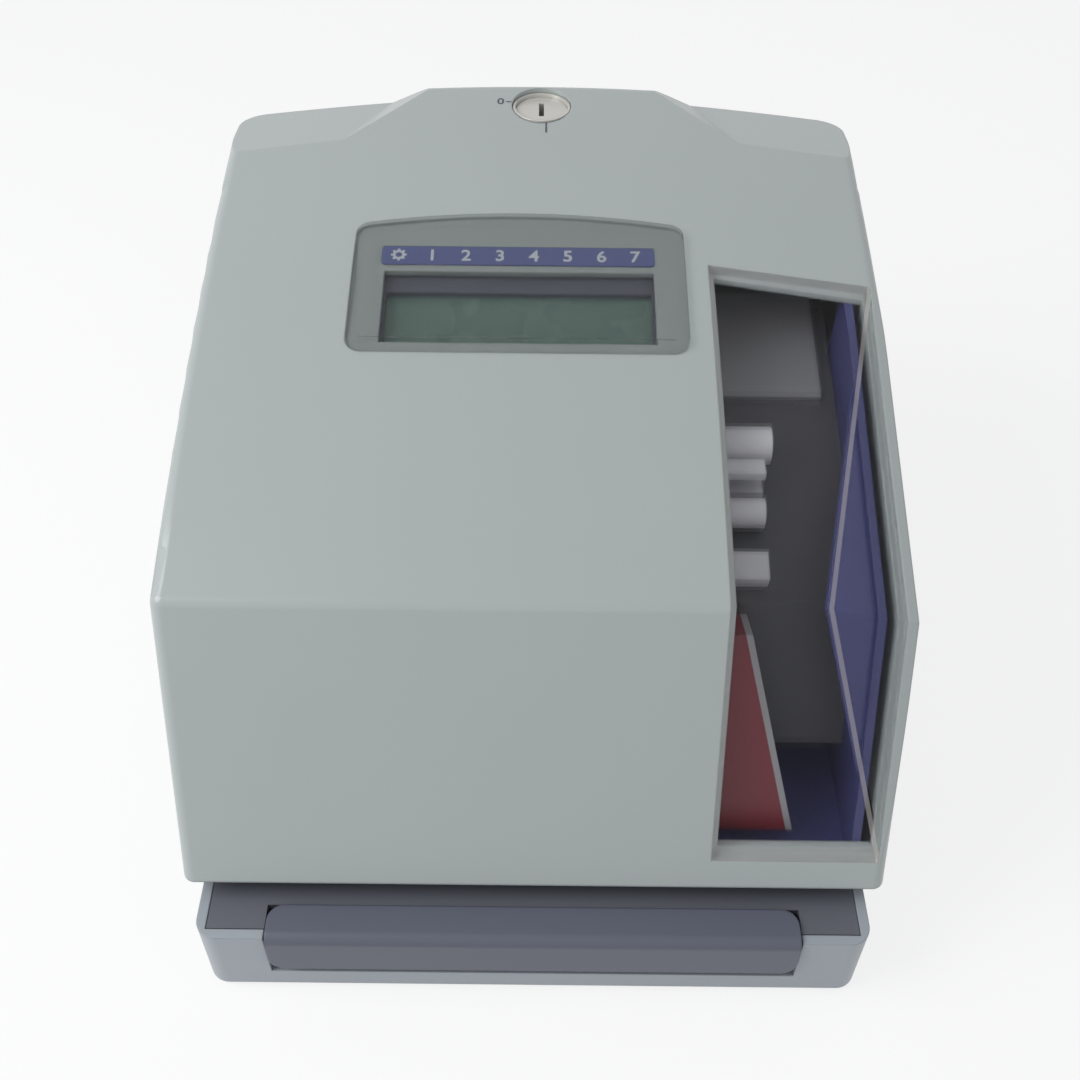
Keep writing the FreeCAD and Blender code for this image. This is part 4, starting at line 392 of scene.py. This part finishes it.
# %% Mechanism finishes
# Streaks that run along z and along y
ALONG_Z = (900, 900, 60)
ALONG_Y = (900, 60, 900)
wear(plastic("shroud_charcoal", linear(70, 70, 75), roughness=0.5, tone=0.1, grain=0.7, depth=0.25),
     "mechanism_shroud")
wear(plastic("panel_grey", linear(140, 140, 142), roughness=0.45, tone=0.06, grain=0.6, depth=0.2),
     "grey_panel")
wear(plastic("acetal_white", linear(205, 205, 208), tone=0.04, grain=0.5),
     "feed_knob", "guide_roller", "latch_hook", "ribbon_stay", "left_spool", "right_spool", "drive_pulley",
     "idler_pulley", "set_button_1", "set_button_2", "set_button_3")
wear(plastic("cassette_red", linear(116, 32, 44), roughness=0.35, tone=0.12, grain=0.6, depth=0.15),
     "ribbon_cassette", "cassette_lid")
wear(plastic("guide_light", linear(150, 150, 152), tone=0.05), "ribbon_guide")
wear(plastic("guide_navy", linear(62, 64, 112), tone=0.08, grain=0.6, depth=0.2), "paper_guide")
wear(plastic("inked_ribbon", linear(30, 24, 40), roughness=0.9, tone=0.2, grain=0.3, depth=0.5), "ribbon")
wear(plastic("black_nylon", linear(28, 28, 30), roughness=0.5, tone=0.1, grain=0.6, depth=0.2),
     "carriage", "board_chips", "power_inlet", "bar_switch", "button_cases", "drive_belt")
wear(plastic("board_mask", linear(20, 92, 50), roughness=0.35, tone=0.15, grain=1.2, cloud=6.0),
     "main_board", "display_board", "button_board")
wear(plastic("core_black", linear(45, 45, 48), roughness=0.5, metallic=0.5, grain=0.8), "power_block")
wear(metal("zinc_plate", linear(178, 180, 182), roughness=0.35, stretch=ALONG_Z),
     "left_plate", "right_plate", "rear_plate", "lock_strike", "button_shelf", "display_bracket",
     "platen_anvil", "lock_cam")
wear(metal("ground_steel", linear(200, 200, 202), roughness=0.2),
     "lower_shaft_rod", "upper_shaft_rod", "idler_pin", "stop_screw", "bar_springs")
wear(metal("can_steel", linear(170, 171, 174), stretch=ALONG_Y), "drive_motor", "backup_battery")
wear(metal("head_alloy", linear(120, 121, 125), roughness=0.45), "print_head")
wear(plastic("lock_nickel", linear(200, 198, 192), roughness=0.3, metallic=0.3, edge=0.3),
     "lock_barrel", "lock_plug", "lock_nut")

# %% [markdown]
# ## Clear mouldings
# The window and the lens are clear, slightly smoky polycarbonate. A good part of the light goes straight on
# through Alpha, which lets the lamps reach what lies behind, and the rest is transmitted and tinted. Both
# parts must show the same picture, so the body bends light very little, and a thin clear coat gives the
# gloss of the real plastic. A thick plate's cut edges are rough and look pale and frosted, and the light
# that they gather along the sheet is painted on them as a faint glow, so a mask in Object coordinates finds
# the window's rim. Each of the two gem facets begins at a sharp ridge, whose bright line along its whole
# length is a painted highlight, so the mask finds both.

# %% Where the window's rim and ridges lie
# Corners of the two facets in mm: the shared ones inside and at the side, then the rear one and the sill's
FACET_INNER = Vector((62.0, -61.2, 98.3))
FACET_OUTER = Vector((82.0, -59.7, 92.3))
FACET_REAR = Vector((79.5, 21.5, 121.6))
FACET_SILL = Vector((79.5, -85.25, 37.0))
# How far the window's rear edge falls forward in mm, over how much of its width
REAR_EDGE_FALL = 6.5
REAR_EDGE_WIDTH = 38.5
WINDOW_SKEW = REAR_EDGE_FALL / REAR_EDGE_WIDTH
# Widths in mm of the painted highlight lines, and how strongly the rim shows beside the ridges
RIM_WIDTH = 0.9
RIDGE_WIDTH = 0.55
RIM_SHARE = 0.4
window_low, window_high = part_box("side_window")


def near_line(group, place, start, end):
    """1 within RIDGE_WIDTH of the line from start to end, where length((place - start) x along) is less."""
    from_start = vector_step(group, "SUBTRACT", place, start * MM)
    crossed = vector_step(group, "CROSS_PRODUCT", from_start, (end - start).normalized())
    distance = vector_step(group, "LENGTH", crossed, result="Value")
    return math_step(group, "LESS_THAN", distance, RIDGE_WIDTH * MM)


def make_edge_highlight_mask():
    """Where the painted highlight lies: 1 along the two ridges, RIM_SHARE along the left, lower and rear
    edges, else 0.
    """
    group, _, leave = new_group("window_edge_highlight", [], [("Band", "value")])
    place = add_node(group, "ShaderNodeTexCoord").outputs["Object"]
    parts = add_node(group, "ShaderNodeSeparateXYZ")
    plug(group, place, parts.inputs[0])
    x, y, z = parts.outputs
    rim = RIM_WIDTH * MM
    rear_edge = window_high[1] + WINDOW_SKEW * window_low[0]
    slanted = math_step(group, "MULTIPLY_ADD", x, WINDOW_SKEW, y)
    edges = (
        math_step(group, "LESS_THAN", x, window_low[0] + rim),
        math_step(group, "LESS_THAN", z, window_low[2] + rim),
        math_step(group, "GREATER_THAN", slanted, rear_edge - rim),
    )
    rim_highlight = math_step(group, "MULTIPLY", greatest(group, *edges), RIM_SHARE)
    ridges = [near_line(group, place, FACET_INNER, end) for end in (FACET_REAR, FACET_SILL)]
    plug(group, greatest(group, rim_highlight, *ridges), leave.inputs["Band"])
    return group


EDGE_HIGHLIGHT_MASK = make_edge_highlight_mask()
print("group:", EDGE_HIGHLIGHT_MASK.name, "nodes:", len(EDGE_HIGHLIGHT_MASK.nodes))

# %% Clear finishes
# A clear body's change of tone, and the sizes of its grain and clouds in mm
CLEAR_TONE = 0.02
CLEAR_GRAIN = 3.0
CLEAR_CLOUD = 25.0
# Its roughness, how much it bends light, its coat, and the size of its soft edges in mm
CLEAR_ROUGHNESS = 0.02
CLEAR_ROUGH_CHANGE = 0.03
CLEAR_IOR = 1.08
CLEAR_COAT = 0.5
CLEAR_COAT_ROUGHNESS = 0.03
CLEAR_EDGE = 0.5
# How pale and rough the frosted edges are, and how bright the painted glow on them is
FROST_AND_GLOW_COLOUR = linear(205, 200, 197)
PAINTED_EDGE_GLOW = 0.2
BAND_ROUGH = 0.45
BLACK = (0, 0, 0, 1)


def clear_plastic(name, tint, see_through, frost_and_highlight=None):
    """A clear moulding; see_through passes straight on, frost_and_highlight masks frosted edges with painted
    glow.
    """
    made, tree, shader = new_material(name)
    surface = grained(tree, tint, CLEAR_TONE, CLEAR_GRAIN, CLEAR_CLOUD, CLEAR_ROUGHNESS, CLEAR_ROUGH_CHANGE)
    set_inputs(shader, {"Transmission Weight": 1.0, "IOR": CLEAR_IOR, "Coat Weight": CLEAR_COAT,
                        "Coat Roughness": CLEAR_COAT_ROUGHNESS})
    plug(tree, soft_edge(tree, CLEAR_EDGE), shader.inputs["Normal"])
    if frost_and_highlight is None:
        plug(tree, surface["Colour"], shader.inputs["Base Color"])
        plug(tree, surface["Roughness"], shader.inputs["Roughness"])
        set_inputs(shader, {"Alpha": 1.0 - see_through})
        return made
    mask = add_node(tree, "ShaderNodeGroup", node_tree=frost_and_highlight).outputs["Band"]
    plug(tree, mixed(tree, mask, surface["Colour"], FROST_AND_GLOW_COLOUR), shader.inputs["Base Color"])
    # Painted highlight: the rim and the ridges glow with the pale colour, though no lamp lights them there
    plug(tree, mixed(tree, mask, BLACK, FROST_AND_GLOW_COLOUR), shader.inputs["Emission Color"])
    set_inputs(shader, {"Emission Strength": PAINTED_EDGE_GLOW})
    rough = math_step(tree, "MULTIPLY_ADD", mask, BAND_ROUGH, CLEAR_ROUGHNESS)
    solid = math_step(tree, "MULTIPLY_ADD", mask, see_through, 1.0 - see_through)
    plug(tree, rough, shader.inputs["Roughness"])
    plug(tree, solid, shader.inputs["Alpha"])
    return made


wear(clear_plastic("window_smoke", linear(190, 190, 195), see_through=0.74, frost_and_highlight=EDGE_HIGHLIGHT_MASK), "side_window")
wear(clear_plastic("lens_clear", linear(165, 168, 168), see_through=0.45), "display_lens")
wear(plastic("strip_blue", linear(100, 108, 162), roughness=0.5, depth=0.05), "day_strip")
wear(plastic("mask_violet", linear(96, 98, 112), roughness=0.5, tone=0.05), "display_mask")
wear(plastic("lcd_green", linear(103, 129, 120), roughness=0.25, tone=0.08, cloud=18.0, depth=0.02),
     "lcd_panel")

# %% [markdown]
# ## Printed marks
# The day strip carries a plain wheel mark and seven day numbers in white, and the lock has a grey number at
# each of its two places. Print has no thickness to speak of, so each mark is a flat outline a few hundredths
# of a millimetre above the surface. A ray dropped onto the solid finds the height and the slope there.

# %% Laying marks on a surface
# How far print lies above the surface
INK_LIFT = 0.04 * MM
white_ink = plastic("white_ink", linear(222, 226, 232), roughness=0.5, tone=0.02, depth=0.02)
grey_ink = plastic("grey_ink", linear(76, 80, 84), roughness=0.5, tone=0.02, depth=0.02)


def surface_at(name, x, y):
    """Where a vertical line at x, y (mm) meets the top of a node, and the normal there."""
    start = Vector((x * MM, y * MM, cad_high[2] + MM))
    hit, place, normal, _ = nodes[name].ray_cast(start, Vector((0, 0, -1)))
    if not hit:
        raise RuntimeError(f"nothing of {name} lies under {x}, {y}")
    return place, normal


def lay_flat(points, name, x, y):
    """Points in mm on a sheet of paper, set down on a node at x, y with the paper along the surface."""
    place, normal = surface_at(name, x, y)
    upward = normal.cross(Vector((1, 0, 0))).normalized()
    across = upward.cross(normal)
    sheet_axes = np.array([across, upward, normal])
    flat = np.column_stack([points[:, :2], np.zeros(len(points))]) * MM
    return flat @ sheet_axes + np.array(place + normal * INK_LIFT)


def add_piece(label, pieces, finish, body):
    """One mesh of several pieces, each a pair of points in place and faces, that rides on a body."""
    points, faces, count = [], [], 0
    for part_points, part_faces in pieces:
        points.append(part_points)
        faces += [[index + count for index in face] for face in part_faces]
        count += len(part_points)
    mesh = bpy.data.meshes.new(label)
    mesh.from_pydata(np.vstack(points).tolist(), [], faces)
    mesh.materials.append(finish)
    made = bpy.data.objects.new(label, mesh)
    bpy.context.collection.objects.link(made)
    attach(made, body)
    print(label, "faces:", len(mesh.polygons))
    return made


print("inks:", white_ink.name, grey_ink.name)

# %% Outlines of digits and of the wheel
# A digit's height as a share of the font's size, and how much bolder it is as a share of its height
CAP_SHARE = 0.7
BOLD = 0.03
# The wheel's number of teeth, its radius, tooth height and hole in mm, and the steps round it
WHEEL_TEETH = 8
WHEEL_RADIUS = 1.5
TOOTH_HEIGHT = 0.45
WHEEL_HOLE = 0.8
WHEEL_STEPS = 96


def digit_outline(text, height):
    """A line of digits as flat faces about its own middle, height mm tall: (points, faces)."""
    curve = bpy.data.curves.new("digit", "FONT")
    curve.body = text
    curve.size = height / CAP_SHARE
    curve.offset = height * BOLD
    curve.align_x = "CENTER"
    curve.align_y = "CENTER"
    writer = bpy.data.objects.new("digit", curve)
    bpy.context.collection.objects.link(writer)
    bpy.context.view_layer.update()
    mesh = bpy.data.meshes.new_from_object(writer)
    points = np.empty(len(mesh.vertices) * 3)
    mesh.vertices.foreach_get("co", points)
    points = points.reshape(-1, 3)
    points[:, :2] -= (points[:, :2].max(0) + points[:, :2].min(0)) / 2
    faces = [list(face.vertices) for face in mesh.polygons]
    bpy.data.objects.remove(writer)
    return points, faces


def wheel_outline():
    """A ring with teeth, whose outer radius = base + tooth height where cos(teeth * angle) > 0."""
    turn = np.linspace(0, 2 * np.pi, WHEEL_STEPS, endpoint=False)
    outer = WHEEL_RADIUS + TOOTH_HEIGHT * (np.cos(WHEEL_TEETH * turn) > 0)
    ring = np.column_stack([np.cos(turn), np.sin(turn), np.zeros(WHEEL_STEPS)])
    points = np.vstack([ring * outer[:, None], ring * WHEEL_HOLE])
    index = np.arange(WHEEL_STEPS)
    following = (index + 1) % WHEEL_STEPS
    faces = np.column_stack([index, following, following + WHEEL_STEPS, index + WHEEL_STEPS])
    return points, faces.tolist()


print("points of the wheel:", len(wheel_outline()[0]))

# %% The day strip's marks
# The middle of the strip, the wheel's place, the first day's place and the step to the next, in mm
STRIP_MIDDLE_Y = 31.0
WHEEL_X = -34.6
FIRST_DAY_X = -26.4
DAY_STEP = 8.3
DAYS = 7
DAY_HEIGHT = 3.5


def make_day_marks():
    """The wheel mark and the numbers 1 to 7 along the day strip."""
    marks = [(wheel_outline(), WHEEL_X)]
    for day in range(DAYS):
        marks.append((digit_outline(str(day + 1), DAY_HEIGHT), FIRST_DAY_X + DAY_STEP * day))
    pieces = [(lay_flat(points, "day_strip", x, STRIP_MIDDLE_Y), faces) for (points, faces), x in marks]
    return add_piece("day_marks", pieces, white_ink, "cover")


make_day_marks()

# %% The lock's marks
# How tall the numbers are, and each number with the place where it stands, in mm
LOCK_MARK_HEIGHT = 2.7
LOCK_NUMBERS = (("0", -11.1, 90.6), ("1", 1.3, 78.2))
# Where a dash stands, and half its size across and along the machine, in mm
LOCK_DASHES = ((-8.9, 90.4, 0.7, 0.25), (1.3, 80.4, 0.25, 0.7))


def make_lock_marks():
    """A number and a dash for each of the two places that the key turns to."""
    pieces = []
    for text, x, y in LOCK_NUMBERS:
        points, faces = digit_outline(text, LOCK_MARK_HEIGHT)
        pieces.append((lay_flat(points, "top_cover", x, y), faces))
    for x, y, half_x, half_y in LOCK_DASHES:
        points = np.array([(-half_x, -half_y), (half_x, -half_y), (half_x, half_y), (-half_x, half_y)])
        pieces.append((lay_flat(points, "top_cover", x, y), [[0, 1, 2, 3]]))
    return add_piece("lock_marks", pieces, grey_ink, "cover")


make_lock_marks()

# %% [markdown]
# ## The navy plates under the gem facets
# Two slanted facets cut the window's right corner, and a navy plate lies a few millimetres below each. The
# window's own corner points, moved in along each facet's normal, give both plates their outlines.

# %% Navy plates
# How far the plates lie below the facets and how far in from the inner corner, their thickness, and where
# their right edge stands, in mm
PLATE_DROP = 5.0
PLATE_INSET = 1.6
PLATE_THICK = 1.0
PLATE_RIGHT = 75.8


def upward_normal(end):
    """The upward normal of the facet that runs from its inner corner to end."""
    normal = (end - FACET_INNER).cross(FACET_OUTER - FACET_INNER).normalized()
    return normal if normal.z > 0 else -normal


def facet_plate(end, lowered):
    """A three-cornered plate under a facet, from its lowered inner corner to two points at PLATE_RIGHT."""
    normal = upward_normal(end)
    top = [lowered]
    for line in (FACET_OUTER - FACET_INNER, end - FACET_INNER):
        top.append(lowered + line * ((PLATE_RIGHT - lowered.x) / line.x))
    points = np.array([*top, *(corner - normal * PLATE_THICK for corner in top)]) * MM
    faces = [[0, 1, 2], [5, 4, 3], [0, 3, 4, 1], [1, 4, 5, 2], [2, 5, 3, 0]]
    facing = np.cross(points[1] - points[0], points[2] - points[0])
    if facing @ np.array(normal) < 0:
        faces = [face[::-1] for face in faces]
    return points, faces


def make_facet_plates():
    """Both plates, which meet along the break.

    lowered = corner - (rear + front) * drop / (1 + rear . front), which lies drop below both facets.
    """
    rear, front = upward_normal(FACET_REAR), upward_normal(FACET_SILL)
    along_break = FACET_OUTER - FACET_INNER
    lowered = FACET_INNER - (rear + front) * (PLATE_DROP / (1 + rear.dot(front)))
    lowered += along_break * (PLATE_INSET / along_break.x)
    pieces = [facet_plate(end, lowered) for end in (FACET_REAR, FACET_SILL)]
    navy = nodes["paper_guide"].data.materials[0]
    return add_piece("facet_plates", pieces, navy, "base")


make_facet_plates()

# %% [markdown]
# ## The lip in the window's corner
# Low in the window's right corner a small dark lip stands out from the cover's side wall and closes the gap
# beside the paper guide, so that no daylight shows. Its front edge stays just behind the sloping front face.

# %% Corner lip
# Its inner side, thickness, rear, lower and upper edges, and how far it stays behind the front face, in mm
LIP_X = 77.9
LIP_THICK = 2.0
LIP_REAR = -70.0
LIP_LOW = 31.0
LIP_HIGH = 46.0
LIP_BEHIND = 3.6


def front_face_y(height):
    """Where the front face stands at a height: y = sill + (height - sill height) * slope."""
    slope = (FACET_INNER.y - FACET_SILL.y) / (FACET_INNER.z - FACET_SILL.z)
    return FACET_SILL.y + (height - FACET_SILL.z) * slope


def make_corner_lip():
    """A four-cornered plate: one outline at each side, and a side face between each pair of corners."""
    outline = [(front_face_y(LIP_LOW) + LIP_BEHIND, LIP_LOW), (LIP_REAR, LIP_LOW), (LIP_REAR, LIP_HIGH),
               (front_face_y(LIP_HIGH) + LIP_BEHIND, LIP_HIGH)]
    points = np.array([(x, y, z) for x in (LIP_X, LIP_X + LIP_THICK) for y, z in outline]) * MM
    corners = len(outline)
    faces = [[3, 2, 1, 0], [4, 5, 6, 7]]
    for near in range(corners):
        following = (near + 1) % corners
        faces.append([following, following + corners, near + corners, near])
    charcoal = nodes["mechanism_shroud"].data.materials[0]
    return add_piece("corner_lip", [(points, faces)], charcoal, "cover")


make_corner_lip()

# %% [markdown]
# ## Floor and light
# The machine stands on a plain white floor. Large soft lamps at the left, right and front give the even
# light of a product photograph. Camera, glossy and transmission rays see the world as plain white, so metal
# and clear plastic show the same backdrop, while the light that falls on the machine stays at its level.

# %% Floor and backdrop
# Half the floor's width in metres, and its finish
FLOOR_HALF = 3.0
FLOOR_COLOUR = (0.93, 0.93, 0.93, 1)
FLOOR_ROUGHNESS = 0.9
# How much of the floor is plain white paper to the camera, while the rest shows the shadow
PAPER_SHARE = 0.8


def sees_backdrop(tree):
    """1 for camera, glossy and transmission rays, and 0 for light that surfaces pass on to each other."""
    path = add_node(tree, "ShaderNodeLightPath").outputs
    return greatest(tree, path["Is Camera Ray"], path["Is Glossy Ray"], path["Is Transmission Ray"])


def make_floor():
    """A square floor whose shader is a mix of matt white and plain white light."""
    mesh = bpy.data.meshes.new("floor")
    corners = [(x * FLOOR_HALF, y * FLOOR_HALF, 0) for x, y in ((-1, -1), (1, -1), (1, 1), (-1, 1))]
    mesh.from_pydata(corners, [], [(0, 1, 2, 3)])
    floor = bpy.data.objects.new("floor", mesh)
    bpy.context.collection.objects.link(floor)
    material, tree, shader = new_material("floor_white")
    set_inputs(shader, {"Base Color": FLOOR_COLOUR, "Roughness": FLOOR_ROUGHNESS,
                        "Specular IOR Level": 0.0})
    paper = add_node(tree, "ShaderNodeEmission", Strength=1.0)
    share = math_step(tree, "MULTIPLY", sees_backdrop(tree), PAPER_SHARE)
    blend = add_node(tree, "ShaderNodeMixShader")
    for value, target in zip((share, shader.outputs[0], paper.outputs[0]), blend.inputs):
        plug(tree, value, target)
    plug(tree, blend.outputs[0], tree.nodes["Material Output"].inputs["Surface"])
    mesh.materials.append(material)
    return floor


stage_floor = make_floor()
print("stage:", stage_floor.name)

# %% Lamps and world
# A lamp's name, place, target, size in metres and power in watts
LAMPS = (
    ("lamp_left", (-0.6, -0.2, 0.62), (0, 0, 0.08), (0.5, 0.5), 4.6),
    ("lamp_right", (0.8, -0.4, 0.9), (0, 0, 0.05), (0.7, 0.7), 0.7),
    ("lamp_front", (0.0, -1.2, 0.5), (0, 0, 0.05), (0.9, 0.6), 0.5),
)
WORLD_LIGHT = (0.4, 0.41, 0.43, 1)
WORLD_WHITE = (1, 1, 1, 1)


def soft_lamp(name, place, target, size, power):
    """A rectangular lamp at a place that points at a target."""
    data = bpy.data.lights.new(name, "AREA")
    data.shape = "RECTANGLE"
    data.size, data.size_y = size
    data.energy = power
    lamp = bpy.data.objects.new(name, data)
    bpy.context.collection.objects.link(lamp)
    lamp.location = place
    lamp.rotation_euler = (Vector(target) - Vector(place)).to_track_quat("-Z", "Y").to_euler()
    return lamp


def make_world():
    """A world that lights the machine evenly, and is plain white to the rays that see the backdrop."""
    world = bpy.data.worlds.new("studio")
    world.use_nodes = True
    bpy.context.scene.world = world
    tree = world.node_tree
    background = tree.nodes["Background"]
    plug(tree, mixed(tree, sees_backdrop(tree), WORLD_LIGHT, WORLD_WHITE), background.inputs["Color"])
    set_inputs(background, {"Strength": 1.0})
    return world


lamps = [soft_lamp(*settings) for settings in LAMPS]
studio = make_world()
bpy.context.scene.view_settings.view_transform = "Standard"
print("lamps:", ", ".join(lamp.name for lamp in lamps), "world:", studio.name)
